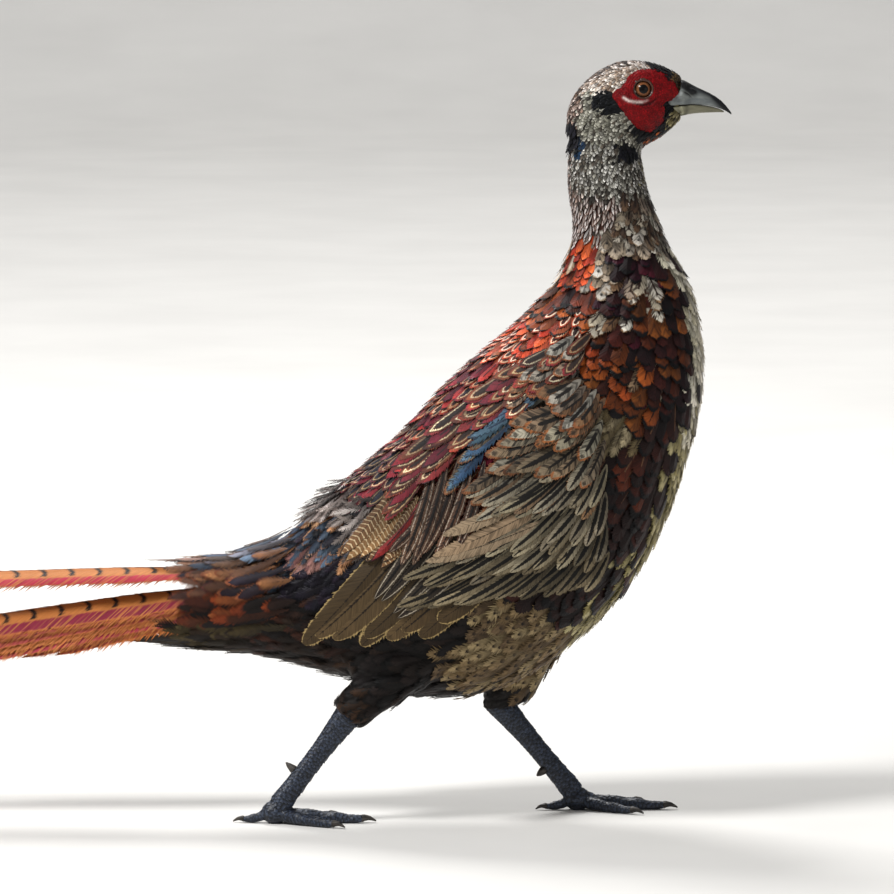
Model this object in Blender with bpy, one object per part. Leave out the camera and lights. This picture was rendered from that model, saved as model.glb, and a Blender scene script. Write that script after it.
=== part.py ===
"""Common pheasant: a young cock in moult, walking, as a still, life-size model.

The bird faces +X, its left side is at +Y and its soles rest on Z = 0. Head, neck, torso and tail follow
one smooth line in the plane Y = 0, and every other piece is placed from the sections of that line.
"""

import math

import bmesh
import bpy
import numpy as np
from mathutils import Matrix, Vector
from mathutils.bvhtree import BVHTree

# Every size is in metres. Two pieces that meet keep GAP; faces within FLAT degrees are made one.
GAP = 0.0003
FLAT = 0.7

# Sections of the neck and torso, from under the head to the rump: centre x and z, then the reach
# towards the back, towards the breast or belly, and to each side.
BODY = (
    (0.0945, 0.4080, 0.0170, 0.0160, 0.0150),
    (0.0945, 0.3880, 0.0205, 0.0215, 0.0190),
    (0.0962, 0.3685, 0.0228, 0.0230, 0.0205),
    (0.1003, 0.3480, 0.0240, 0.0255, 0.0225),
    (0.1026, 0.3277, 0.0300, 0.0320, 0.0265),
    (0.1032, 0.3016, 0.0425, 0.0465, 0.0360),
    (0.0963, 0.2726, 0.0540, 0.0600, 0.0470),
    (0.0812, 0.2378, 0.0680, 0.0695, 0.0560),
    (0.0580, 0.2030, 0.0750, 0.0815, 0.0610),
    (0.0261, 0.1711, 0.0730, 0.0870, 0.0620),
    (-0.0116, 0.1479, 0.0680, 0.0840, 0.0570),
    (-0.0522, 0.1334, 0.0550, 0.0600, 0.0450),
    (-0.0870, 0.1247, 0.0360, 0.0360, 0.0310),
    (-0.1131, 0.1230, 0.0280, 0.0260, 0.0230),
    (-0.1392, 0.1240, 0.0205, 0.0200, 0.0165),
)
NECK_TOP, NECK_BASE, TORSO_END = 1.0, 3.6, 12.2
NECK_SIDES, TORSO_SIDES = 24, 28

# The wings lie on a bed: how far it stands outside the body's sections, from the shoulder to the rump.
BED_CLEARANCE = (0.0012, 0.0012, 0.0012, 0.0015, 0.0020, 0.0060, 0.0110, 0.0130)
BED_FIRST_SECTION = 5.5

# The fleshy part of the wing: sections at its front and rear, angles at its upper and lower edge.
ARM_FRONT, ARM_REAR = (6.3, 7.4), (9.9, 10.5)
ARM_TOP, ARM_FOOT = 40.0, (100.0, 112.0)
ARM_THICK, ARM_THIN = 0.0044, 0.0030

# The tiers of vanes on a wing, lowest first: how many, the roots (x, z) of the first and last in the
# side view, their tips, how far the line of tips bows down, the full widths, and the lift of the tips.
WING_TIERS = {
    "primaries": (8, (-0.006, 0.186), (0.038, 0.146), (-0.0766, 0.1038), (0.002, 0.1160), 0.0145,
                  0.0165, 0.0140, 0.0020),
    "secondaries": (3, (0.009, 0.198), (0.030, 0.172), (-0.036, 0.1276), (-0.021, 0.1172), 0.0,
                    0.0120, 0.0120, 0.0038),
    "tertials": (4, (0.020, 0.232), (0.026, 0.205), (-0.063, 0.1600), (-0.031, 0.1421), 0.0,
                 0.0150, 0.0140, 0.0046),
    "greater_coverts": (5, (0.060, 0.190), (0.074, 0.162), (-0.0244, 0.1230), (0.020, 0.1210), 0.004,
                        0.0145, 0.0130, 0.0044),
    "middle_coverts": (5, (0.078, 0.220), (0.088, 0.178), (-0.0023, 0.1600), (0.053, 0.1370), 0.004,
                       0.0165, 0.0150, 0.0050),
    "lesser_coverts": (4, (0.074, 0.240), (0.088, 0.208), (0.0100, 0.1860), (0.066, 0.1600), 0.003,
                       0.0180, 0.0160, 0.0054),
    "marginal_coverts": (3, (0.076, 0.252), (0.090, 0.232), (0.0300, 0.2160), (0.070, 0.1930), 0.003,
                         0.0200, 0.0180, 0.0058),
    "rear_scapulars": (3, (0.034, 0.252), (0.042, 0.232), (-0.042, 0.1980), (-0.024, 0.1760), 0.0,
                       0.0180, 0.0180, 0.0060),
    "front_scapulars": (3, (0.072, 0.276), (0.082, 0.252), (0.0130, 0.2420), (0.036, 0.2180), 0.0,
                        0.0200, 0.0200, 0.0066),
}
LONG_VANE = ((0.0, 0.45), (0.28, 0.95), (0.60, 1.0), (0.87, 0.78), (1.0, 0.20))
SHORT_VANE = ((0.0, 0.50), (0.45, 1.0), (0.82, 0.85), (1.0, 0.22))
VANE_THICK, VANE_TIP_THICK, SHAFT_RAISE = 0.00050, 0.00040, 0.00020
VANE_ROOT_LIFT, VANE_TILT, LONG_FROM = 0.0015, 0.0014, 0.070

# What the shins are cut clear of: the room of the wing, by the angle of its lower edge at each
# section from BED_FIRST_SECTION on.
WING_ROOM_FOOT = (95.0, 104.0, 112.0, 120.0, 127.0, 133.0, 140.0, 145.0)

# Sections of the head, from the nape to the base of the bill: x, centre z, half height, half width.
HEAD = (
    (0.0735, 0.4050, 0.0050, 0.0045),
    (0.0768, 0.4065, 0.0125, 0.0105),
    (0.0812, 0.4085, 0.0170, 0.0140),
    (0.0899, 0.4123, 0.0212, 0.0165),
    (0.1015, 0.4150, 0.0246, 0.0180),
    (0.1131, 0.4158, 0.0249, 0.0176),
    (0.1230, 0.4164, 0.0226, 0.0150),
    (0.1311, 0.4176, 0.0188, 0.0112),
    (0.1369, 0.4190, 0.0146, 0.0086),
    (0.1415, 0.4192, 0.0112, 0.0066),
)
HEAD_TRIANGLES = 740
HEAD_FLOOR = 0.3880
BILL_ROOT = 0.1392

# The eye, its lids, and the red skin round it, whose reach is given at 16 even turns from the
# forward direction, turning upwards.
EYE_AT = (0.1172, 0.4253)
EYE_RADIUS, EYE_SHOWS = 0.0062, 0.0021
LID_RADIUS, LID_ROLL = 0.0053, 0.0010
WATTLE_REACH = (
    0.0200, 0.0160, 0.0130, 0.0120, 0.0115, 0.0130, 0.0140, 0.0158,
    0.0190, 0.0178, 0.0170, 0.0185, 0.0228, 0.0245, 0.0190, 0.0158,
)
WATTLE_RAISE = 0.0011

# The bill: x, underside z, top z and half width, for the upper and the lower half.
UPPER_BILL = (
    (0.1395, 0.4148, 0.4298, 0.0062),
    (0.1430, 0.4156, 0.4283, 0.0058),
    (0.1480, 0.4156, 0.4255, 0.0050),
    (0.1530, 0.4150, 0.4232, 0.0042),
    (0.1580, 0.4141, 0.4207, 0.0034),
    (0.1628, 0.4126, 0.4172, 0.0024),
    (0.1662, 0.4108, 0.4134, 0.0014),
    (0.1686, 0.4090, 0.4102, 0.0005),
)
LOWER_BILL = (
    (0.1395, 0.4085, 0.4144, 0.0052),
    (0.1430, 0.4093, 0.4152, 0.0047),
    (0.1480, 0.4101, 0.4152, 0.0038),
    (0.1530, 0.4104, 0.4146, 0.0030),
    (0.1580, 0.4106, 0.4137, 0.0022),
    (0.1622, 0.4107, 0.4124, 0.0013),
    (0.1642, 0.4105, 0.4113, 0.0006),
)
NOSTRIL_AT = (0.1436, 0.4222)

# The legs. The right one pushes off behind and the left one is planted ahead. Each has the place of its
# knee, hock and foot in the side view.
STANCE = 0.027
LEGS = {
    "right": {"side": -1, "knee": (0.0120, 0.1270), "hock": (-0.0535, 0.0630), "foot": (-0.0955, 0.0075)},
    "left": {"side": 1, "knee": (0.0560, 0.1180), "hock": (0.0365, 0.0605), "foot": (0.0805, 0.0075)},
}
KNEE_OUT = 0.0290
THIGH_RADII = (0.0240, 0.0220, 0.0165, 0.0122, 0.0098)
SHANK_RADII = (0.0088, 0.0072, 0.0058, 0.0054, 0.0058, 0.0066)
SCUTES, SCUTE_RAISE = 11, 0.0004
SPUR_AT, SPUR_LENGTH, SPUR_RADIUS = 0.63, 0.0085, 0.0030

# Toes: turn from straight ahead in degrees, towards the midline, then length, root and tip radius.
TOES = {
    "middle": (0.0, 0.050, 0.0044, 0.0026),
    "inner": (31.0, 0.036, 0.0040, 0.0024),
    "outer": (-31.0, 0.039, 0.0040, 0.0024),
    "hind": (174.0, 0.018, 0.0032, 0.0021),
}
CLAW_LENGTH = 0.0095
SOLE_SINK = 0.00035

# The tail is a roof of paired vanes: the middle pair is held level above the rest, which droop.
TAIL_ROOT = (-0.1130, 0.1230)
TAIL_LENGTHS = (0.400, 0.345, 0.305, 0.262, 0.222, 0.188, 0.158, 0.132, 0.112)
TAIL_FIRST_HEIGHT, TAIL_HEIGHT, TAIL_STEP_DOWN = 0.0250, 0.0180, 0.0019
TAIL_FIRST_DROOP, TAIL_DROOP, TAIL_FAN = 1.0, 6.8, 0.55
TAIL_YAW, TAIL_YAW_STEP = 0.3, 0.35
TAIL_FIRST_ROLL, TAIL_ROLL, TAIL_ROLL_STEP = 38.0, 50.0, 1.0
TAIL_WIDTH, TAIL_WIDTH_LAST = 0.0225, 0.0170
TAIL_SAG = 0.010
TAIL_LONG = ((0.0, 0.45), (0.16, 1.0), (0.42, 0.98), (0.68, 0.76), (0.87, 0.42), (1.0, 0.06))
TAIL_SHORT = ((0.0, 0.45), (0.30, 1.0), (0.68, 0.82), (0.90, 0.46), (1.0, 0.08))

# The coverts over and under the root of the tail: angle from the top, length, and lift of the tip.
TAIL_COVERTS = (
    (20.0, 0.072, 0.0062), (53.0, 0.060, 0.0040), (88.0, 0.056, 0.0034), (123.0, 0.068, 0.0034),
    (159.0, 0.080, 0.0030),
)
COVERT_WIDTH, COVERT_TILT = 0.0175, 0.0008

# Colour and roughness of each kind of surface.
PALE, CHESTNUT = ((0.42, 0.36, 0.28), 0.9), ((0.20, 0.07, 0.03), 0.85)
BARRED, COPPERY, DARK_DOWN = ((0.30, 0.24, 0.16), 0.85), ((0.45, 0.17, 0.05), 0.8), ((0.05, 0.04, 0.035), 0.9)
HORN, LEG_SKIN, CLAW_HORN = ((0.25, 0.27, 0.28), 0.4), ((0.06, 0.07, 0.09), 0.55), ((0.05, 0.045, 0.04), 0.4)
EYE_LOOK = ((0.30, 0.12, 0.04), 0.05)


def clear_scene():
    for obj in list(bpy.data.objects):
        bpy.data.objects.remove(obj, do_unlink=True)


def along(rows, at):
    """Values at each place `at`, counted in rows, on a smooth curve through the rows."""
    rows = np.asarray(rows, float)
    at = np.atleast_1d(np.asarray(at, float))
    last = len(rows) - 1
    i = np.clip(np.floor(at).astype(int), 0, last - 1)
    t = (at - i)[:, None]
    start, end = rows[i], rows[i + 1]
    leave = (end - rows[np.maximum(i - 1, 0)]) / 2
    arrive = (rows[np.minimum(i + 2, last)] - start) / 2
    return (
        start * (2 * t**3 - 3 * t**2 + 1)
        + leave * (t**3 - 2 * t**2 + t)
        + end * (3 * t**2 - 2 * t**3)
        + arrive * (t**3 - t**2)
    )


def section(s):
    """Centre, direction towards the back, and the three reaches of the body's section at s."""
    x, z, back, front, side = along(BODY, s)[0]
    step = along(BODY, s + 0.05)[0][:2] - along(BODY, s - 0.05)[0][:2]
    step /= np.linalg.norm(step)
    return np.array((x, 0.0, z)), np.array((step[1], 0.0, -step[0])), back, front, side


def body_point(s, angle, lift=0.0, spread=0.0):
    """A point on the body at section s, `angle` degrees from the back round the left side.

    `spread` widens the section itself, and `lift` stands off it along its normal.
    """
    centre, backward, back, front, side = section(s)
    c, n = math.cos(math.radians(angle)), math.sin(math.radians(angle))
    depth = (back if c > 0 else front) + spread
    side = side + spread
    outward = backward * (c / depth) + np.array((0.0, 1.0, 0.0)) * (n / side)
    outward /= np.linalg.norm(outward)
    return centre + backward * (c * depth) + np.array((0.0, 1.0, 0.0)) * (n * side) + outward * lift


def mesh_object(name, bm):
    mesh = bpy.data.meshes.new(name)
    bm.to_mesh(mesh)
    bm.free()
    obj = bpy.data.objects.new(name, mesh)
    bpy.context.scene.collection.objects.link(obj)
    return obj


def loft(name, rings):
    """A closed solid through rings of equal count, with its two end rings filled."""
    bm = bmesh.new()
    loops = [[bm.verts.new(p) for p in ring] for ring in rings]
    for one, two in zip(loops, loops[1:]):
        for i in range(len(one)):
            j = (i + 1) % len(one)
            bm.faces.new((one[i], one[j], two[j], two[i]))
    bm.faces.new(reversed(loops[0]))
    bm.faces.new(loops[-1])
    bmesh.ops.recalc_face_normals(bm, faces=bm.faces)
    return mesh_object(name, bm)


def slab(name, top, bottom):
    """A closed thin solid between two grids of points, split into triangles alike on both faces."""
    bm = bmesh.new()
    upper = [[bm.verts.new(p) for p in row] for row in top]
    lower = [[bm.verts.new(p) for p in row] for row in bottom]
    rows, columns = len(upper), len(upper[0])
    for i in range(rows - 1):
        for j in range(columns - 1):
            for grid in (upper, lower):
                a, b, c, d = grid[i][j], grid[i + 1][j], grid[i + 1][j + 1], grid[i][j + 1]
                bm.faces.new((a, b, c))
                bm.faces.new((a, c, d))
    rim = [(0, j) for j in range(columns)] + [(i, columns - 1) for i in range(1, rows)]
    rim += [(rows - 1, j) for j in range(columns - 2, -1, -1)] + [(i, 0) for i in range(rows - 2, 0, -1)]
    for (i, j), (k, m) in zip(rim, rim[1:] + rim[:1]):
        bm.faces.new((upper[i][j], upper[k][m], lower[k][m]))
        bm.faces.new((upper[i][j], lower[k][m], lower[i][j]))
    bmesh.ops.recalc_face_normals(bm, faces=bm.faces)
    return mesh_object(name, bm)


def tube(name, points, radii, sides, flatten=1.0):
    """A solid along points, round but flattened from side to side (Y) by `flatten`."""
    points = [Vector(p) for p in points]
    rings = []
    for i, (point, radius) in enumerate(zip(points, radii)):
        ahead = (points[min(i + 1, len(points) - 1)] - points[max(i - 1, 0)]).normalized()
        across = Vector((0, 1, 0))
        across = (across - ahead * across.dot(ahead)).normalized()
        third = ahead.cross(across)
        turns = [2 * math.pi * (k + 0.5) / sides for k in range(sides)]
        rings.append([
            point + across * (radius * flatten * math.cos(t)) + third * (radius * math.sin(t)) for t in turns
        ])
    return loft(name, rings)


def ellipsoid(name, centre, radii, sides=16, rows=10, turn=None):
    bm = bmesh.new()
    bmesh.ops.create_uvsphere(bm, u_segments=sides, v_segments=rows, radius=1.0)
    bm.transform(Matrix.Translation(centre) @ (turn or Matrix.Identity(4)) @ Matrix.Diagonal((*radii, 1.0)))
    return mesh_object(name, bm)


def apply_modifiers(obj):
    graph = bpy.context.evaluated_depsgraph_get()
    mesh = bpy.data.meshes.new_from_object(obj.evaluated_get(graph))
    obj.modifiers.clear()
    old, obj.data = obj.data, mesh
    mesh.name = obj.name
    bpy.data.meshes.remove(old)


def boolean(obj, others, operation, solver="EXACT"):
    """Joins or cuts obj by closed objects, which are used up."""
    operands = bpy.data.collections.new("operands")
    bpy.context.scene.collection.children.link(operands)
    for other in others:
        operands.objects.link(other)
    modifier = obj.modifiers.new(operation.lower(), "BOOLEAN")
    modifier.operation, modifier.solver = operation, solver
    modifier.operand_type, modifier.collection = "COLLECTION", operands
    apply_modifiers(obj)
    for other in others:
        bpy.data.objects.remove(other, do_unlink=True)
    bpy.data.collections.remove(operands)
    keep_largest(obj)


def keep_largest(obj):
    """Keeps the largest closed surface, which fills a sealed hollow and drops a loose scrap."""
    bm = bmesh.new()
    bm.from_mesh(obj.data)
    left, islands = set(bm.faces), []
    while left:
        front = [left.pop()]
        island = list(front)
        while front:
            for edge in front.pop().edges:
                for face in edge.link_faces:
                    if face in left:
                        left.remove(face)
                        front.append(face)
                        island.append(face)
        islands.append(island)
    islands.sort(key=lambda island: sum(face.calc_area() for face in island))
    loose = [face for island in islands[:-1] for face in island]
    bmesh.ops.delete(bm, geom=loose, context="FACES")
    bm.to_mesh(obj.data)
    bm.free()


def join_flat_faces(obj):
    """Clears away the lines that a union leaves across faces that are as good as flat."""
    bm = bmesh.new()
    bm.from_mesh(obj.data)
    bmesh.ops.dissolve_limit(bm, angle_limit=math.radians(FLAT), verts=bm.verts[:], edges=bm.edges[:])
    bmesh.ops.triangulate(bm, faces=bm.faces[:])
    bm.to_mesh(obj.data)
    bm.free()


def cut(obj, point, beyond):
    """Takes away what lies past `point` in the direction `beyond`, and closes the cut with a flat face."""
    bm = bmesh.new()
    bm.from_mesh(obj.data)
    geometry = bm.verts[:] + bm.edges[:] + bm.faces[:]
    bmesh.ops.bisect_plane(bm, geom=geometry, plane_co=point, plane_no=beyond, clear_outer=True)
    bmesh.ops.holes_fill(bm, edges=[e for e in bm.edges if e.is_boundary], sides=0)
    bmesh.ops.recalc_face_normals(bm, faces=bm.faces)
    bm.to_mesh(obj.data)
    bm.free()


def swollen_copy(obj, by):
    """A copy whose surface stands `by` outside the original, for cutting a neighbour clear of it."""
    copy = bpy.data.objects.new(obj.name + "_swollen", obj.data.copy())
    bpy.context.scene.collection.objects.link(copy)
    normals = [v.normal.copy() for v in copy.data.vertices]
    for vertex, normal in zip(copy.data.vertices, normals):
        vertex.co += normal * by
    return copy


def cut_across(obj, s, facing):
    """Ends a piece at the body's section s, keeping what lies behind it (facing -1) or ahead of it (1)."""
    centre, backward, *_ = section(s)
    rearward = Vector((-backward[2], 0, backward[0])) * facing
    cut(obj, Vector(centre) - rearward * (GAP / 2), rearward)


def body_rings(first, last, count, sides):
    turns = [360.0 * k / sides for k in range(sides)]
    return [[body_point(s, t) for t in turns] for s in np.linspace(first, last, count)]


def make_neck():
    rings = body_rings(NECK_TOP - 0.4, NECK_BASE + 0.2, 9, NECK_SIDES)
    neck = loft("neck", rings)
    cut(neck, (0, 0, HEAD_FLOOR - GAP / 2), (0, 0, 1))
    cut_across(neck, NECK_BASE, 1)
    return neck


def make_torso():
    torso = loft("torso", body_rings(NECK_BASE - 0.2, TORSO_END + 0.2, 21, TORSO_SIDES))
    for s, facing in ((NECK_BASE, -1), (TORSO_END, 1)):
        cut_across(torso, s, facing)
    return torso


def full(part):
    """Fills out a circle a little towards a square, for full cheeks."""
    return math.copysign(abs(part) ** 0.88, part)


def head_surface(head):
    """A finder of the head's own side: y of the surface at x and z, seen from the left."""
    tree = BVHTree.FromObject(head, bpy.context.evaluated_depsgraph_get())

    def side_at(x, z):
        hit = tree.ray_cast(Vector((x, 0.1, z)), Vector((0, -1, 0)))[0]
        return hit.y if hit else 0.0

    return side_at


def make_head():
    """Skull, cheeks and throat fused into one smooth form, with red skin and lids round each eye."""
    rings = []
    for x, z, tall, wide in along(HEAD, np.linspace(0, len(HEAD) - 1, 22)):
        turns = [2 * math.pi * k / 24 for k in range(24)]
        rings.append([(x, wide * full(math.sin(t)), z + tall * full(math.cos(t))) for t in turns])
    head = loft("head", rings)
    throat = loft("throat", body_rings(0.0, NECK_TOP + 0.6, 8, NECK_SIDES))
    boolean(head, [throat], "UNION")
    remesh = head.modifiers.new("fuse", "REMESH")
    remesh.mode, remesh.voxel_size = "VOXEL", 0.0011
    smooth = head.modifiers.new("soften", "SMOOTH")
    smooth.factor, smooth.iterations = 0.5, 10
    apply_modifiers(head)
    thin = head.modifiers.new("thin", "DECIMATE")
    thin.ratio = HEAD_TRIANGLES / sum(len(p.vertices) - 2 for p in head.data.polygons)
    thin.use_symmetry, thin.symmetry_axis = True, "Y"
    apply_modifiers(head)
    cut(head, (0, 0, HEAD_FLOOR + GAP / 2), (0, 0, -1))
    cut(head, (BILL_ROOT, 0, 0), (1, 0, 0))
    side_at = head_surface(head)
    raised = []
    for side in (1, -1):
        raised += [make_wattle(side, side_at), make_lids(side, side_at)]
    boolean(head, raised, "UNION")
    sockets = [make_eye("socket", side, side_at, EYE_RADIUS + GAP) for side in (1, -1)]
    boolean(head, sockets, "DIFFERENCE")
    return head, side_at


def make_wattle(side, side_at):
    """The red facial skin: a raised patch round the eye, with a groove over its full lower lobe."""
    spokes, rings = 20, (0.0, 0.38, 0.66, 0.88, 1.0)
    folds = {False: (1.0, 1.0, 1.0, 0.8, -1.0), True: (1.0, 0.35, 1.5, 1.3, -1.0)}
    reach = np.array(WATTLE_REACH + WATTLE_REACH[:2])
    bm = bmesh.new()
    grids = []
    for sink in (0.0, 0.0030):
        loops = []
        for ring, share in enumerate(rings[1:], 1):
            loop = []
            for k in range(spokes):
                turn = 2 * math.pi * k / spokes
                lift = WATTLE_RAISE * folds[0.55 < k / spokes < 0.95][ring]
                r = share * along(reach[:, None], len(WATTLE_REACH) * k / spokes)[0][0]
                x, z = EYE_AT[0] + r * math.cos(turn), EYE_AT[1] + r * math.sin(turn)
                x = min(x, BILL_ROOT - 0.0012)
                loop.append(bm.verts.new((x, side * (side_at(x, z) + lift - sink), z)))
            loops.append(loop)
        middle = bm.verts.new((EYE_AT[0], side * (side_at(*EYE_AT) + WATTLE_RAISE - sink), EYE_AT[1]))
        for k in range(spokes):
            j = (k + 1) % spokes
            bm.faces.new((middle, loops[0][k], loops[0][j]))
            for one, two in zip(loops, loops[1:]):
                bm.faces.new((one[k], two[k], two[j], one[j]))
        grids.append(loops[-1])
    for k in range(spokes):
        j = (k + 1) % spokes
        bm.faces.new((grids[0][k], grids[1][k], grids[1][j], grids[0][j]))
    bmesh.ops.recalc_face_normals(bm, faces=bm.faces)
    return mesh_object("wattle", bm)


def eye_frame(side, side_at):
    """The middle of the eye's opening and its outward direction."""
    x, z = EYE_AT
    step = 0.004
    slope_x = (side_at(x + step, z) - side_at(x - step, z)) / (2 * step)
    slope_z = (side_at(x, z + step) - side_at(x, z - step)) / (2 * step)
    outward = Vector((-slope_x, 1.0, -slope_z)).normalized()
    centre = Vector((x, side_at(x, z), z))
    return Vector((centre.x, side * centre.y, centre.z)), Vector((outward.x, side * outward.y, outward.z))


def make_lids(side, side_at):
    """A rolled ring of lid round the opening of the eye."""
    centre, outward = eye_frame(side, side_at)
    centre = centre + outward * 0.0008
    turn = outward.to_track_quat("Z", "Y").to_matrix().to_4x4()
    place = Matrix.Translation(centre) @ turn
    around, across = 16, 5
    bm = bmesh.new()
    loops = []
    for k in range(around):
        a = 2 * math.pi * k / around
        loop = []
        for m in range(across):
            b = 2 * math.pi * m / across
            r = LID_RADIUS + LID_ROLL * math.cos(b)
            corner = Vector((r * math.cos(a), r * math.sin(a), LID_ROLL * math.sin(b)))
            loop.append(bm.verts.new(place @ corner))
        loops.append(loop)
    for k in range(around):
        one, two = loops[k], loops[(k + 1) % around]
        for m in range(across):
            n = (m + 1) % across
            bm.faces.new((one[m], one[n], two[n], two[m]))
    bmesh.ops.recalc_face_normals(bm, faces=bm.faces)
    return mesh_object("lids", bm)


def make_eye(name, side, side_at, radius):
    centre, outward = eye_frame(side, side_at)
    middle = centre - outward * (EYE_RADIUS - EYE_SHOWS)
    return ellipsoid(name, middle, (radius, radius, radius), sides=16, rows=8)


def bill_ring(x, low, high, wide, arch_up):
    """A section of half a bill: flat on the mouth's side and arched on the other."""
    steps = 8
    flat, peak = (low, high) if arch_up else (high, low)
    turns = [math.pi * k / steps for k in range(steps + 1)]
    return [(x, wide * math.cos(t), flat + (peak - flat) * math.sin(t) ** 0.8) for t in turns]


def make_bill():
    """The two halves of the bill, parted by the line of the mouth, with a nostril on each side."""
    halves = []
    for name, table, arch_up in (("bill_upper", UPPER_BILL, True), ("bill_lower", LOWER_BILL, False)):
        rows = along(table, np.linspace(0, len(table) - 1, 11))
        halves.append(loft(name, [bill_ring(*row, arch_up) for row in rows]))
    upper = halves[0]
    x, z = NOSTRIL_AT
    flaps = [ellipsoid("flap", (x, side * 0.0040, z + 0.0008), (0.0042, 0.0020, 0.0018), 12, 6)
             for side in (1, -1)]
    boolean(upper, flaps, "UNION")
    cut(upper, (UPPER_BILL[0][0], 0, 0), (-1, 0, 0))
    slits = [ellipsoid("slit", (x + 0.0008, side * 0.0062, z - 0.0016), (0.0030, 0.0016, 0.0006), 10, 6)
             for side in (1, -1)]
    boolean(upper, slits, "DIFFERENCE")
    return halves


def bed_point(side, s, angle, lift):
    """A point over the bed, which lies just clear of the torso."""
    spread = along(np.array(BED_CLEARANCE)[:, None], s - BED_FIRST_SECTION)[0][0]
    x, y, z = body_point(s, angle, lift, spread)
    return Vector((x, side * y, z))


def make_bed():
    """A finder of places on the left bed, which lies under the vanes of the wing."""
    rings = [[bed_point(1, s, a, 0.0) for a in np.linspace(0, 180, 46)] for s in np.linspace(5.5, 12.5, 57)]
    corners = [p for ring in rings for p in ring]
    faces = []
    for i in range(len(rings) - 1):
        for j in range(45):
            a, b = 46 * i + j, 46 * (i + 1) + j
            faces.append((a, a + 1, b + 1, b))
    return BVHTree.FromPolygons(corners, faces)


def bed_patch(name, side, tops, feet, sections, thickness, rows, columns, sink=0.0):
    """A closed slab on the bed between an upper and a lower edge, both given from front to rear."""
    top, bottom = [], []
    for u in np.linspace(0, 1, rows):
        upper, lower = [], []
        for v in np.linspace(0, 1, columns):
            angle = tops(u) + (feet(u) - tops(u)) * v
            s = sections(u, v)
            rim = 1.0 if 0 < min(u, v) and max(u, v) < 1 else 0.7
            upper.append(bed_point(side, s, angle, thickness(u) * rim))
            lower.append(bed_point(side, s, angle, -sink))
        top.append(upper)
        bottom.append(lower)
    return slab(name, top, bottom)


def make_arm(name, side):
    """The shoulder, arm and hand of the folded wing, in which the vanes are rooted."""
    return bed_patch(
        name, side, lambda u: ARM_TOP, lambda u: ARM_FOOT[0] + (ARM_FOOT[1] - ARM_FOOT[0]) * u,
        lambda u, v: (ARM_FRONT[0] + (ARM_FRONT[1] - ARM_FRONT[0]) * v**2) * (1 - u)
        + (ARM_REAR[0] + (ARM_REAR[1] - ARM_REAR[0]) * v) * u,
        lambda u: ARM_THICK + (ARM_THIN - ARM_THICK) * u, 8, 6,
    )


def make_wing_room(side):
    """All the room over the bed that the wing takes, for cutting the shins clear of it."""
    feet = np.array(WING_ROOM_FOOT)[:, None]
    return bed_patch(
        "room", side, lambda u: 30.0, lambda u: along(feet, u * (len(feet) - 1))[0][0],
        lambda u, v: 5.6 + (12.4 - 5.6) * u, lambda u: 0.05, 15, 9, sink=GAP * 1.5,
    )


def wing_vane(bed, side, root, tip, width, high):
    """One vane of the wing, from its root in the arm to its tip, bent round the bed."""
    form = LONG_VANE if np.linalg.norm(tip - root) > LONG_FROM else SHORT_VANE
    places = []
    for t, _ in form:
        x, z = root + (tip - root) * t
        places.append(bed.ray_cast(Vector((x, 0.2, z)), Vector((0, -1, 0)))[:2])
    top, bottom = [], []
    for i, (t, wide) in enumerate(form):
        point, normal = places[i]
        ahead = (places[min(i + 1, len(form) - 1)][0] - places[max(i - 1, 0)][0]).normalized()
        down = normal.cross(ahead)
        if down.z > 0:
            down.negate()
        thick = VANE_THICK if t < 1 else VANE_TIP_THICK
        upper, lower = [], []
        for edge in (-1, 1):
            at, out, *_ = bed.find_nearest(point + down * (edge * width / 2 * wide))
            rise = VANE_ROOT_LIFT + (high - VANE_ROOT_LIFT) * t
            rise += VANE_TILT * edge / 2 * min(1.0, 0.2 + 5 * t)
            for row, lift in ((upper, rise + thick), (lower, rise)):
                place = at + out * lift
                row.append(Vector((place.x, side * place.y, place.z)))
        top.append(upper)
        bottom.append(lower)
    return slab("vane", top, bottom)


def make_wing(name, side, bed):
    """The folded wing: tiers of overlapping vanes fused at their roots in the arm."""
    arm = make_arm(name, side)
    random = np.random.default_rng(7)
    vanes = []
    for count, *ends, bow, wide_first, wide_last, high in WING_TIERS.values():
        root_first, root_last, tip_first, tip_last = np.array(ends)
        for k in range(count):
            share = k / (count - 1)
            root = root_first * (1 - share) + root_last * share
            tip = tip_first * (1 - share) + tip_last * share
            tip[1] -= 4 * bow * share * (1 - share)
            tip += (root - tip) * random.uniform(-0.02, 0.03)
            width = (wide_first * (1 - share) + wide_last * share) * random.uniform(0.96, 1.04)
            vanes.append(wing_vane(bed, side, root, tip, width, high))
    boolean(arm, vanes, "UNION")
    join_flat_faces(arm)
    return arm


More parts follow.
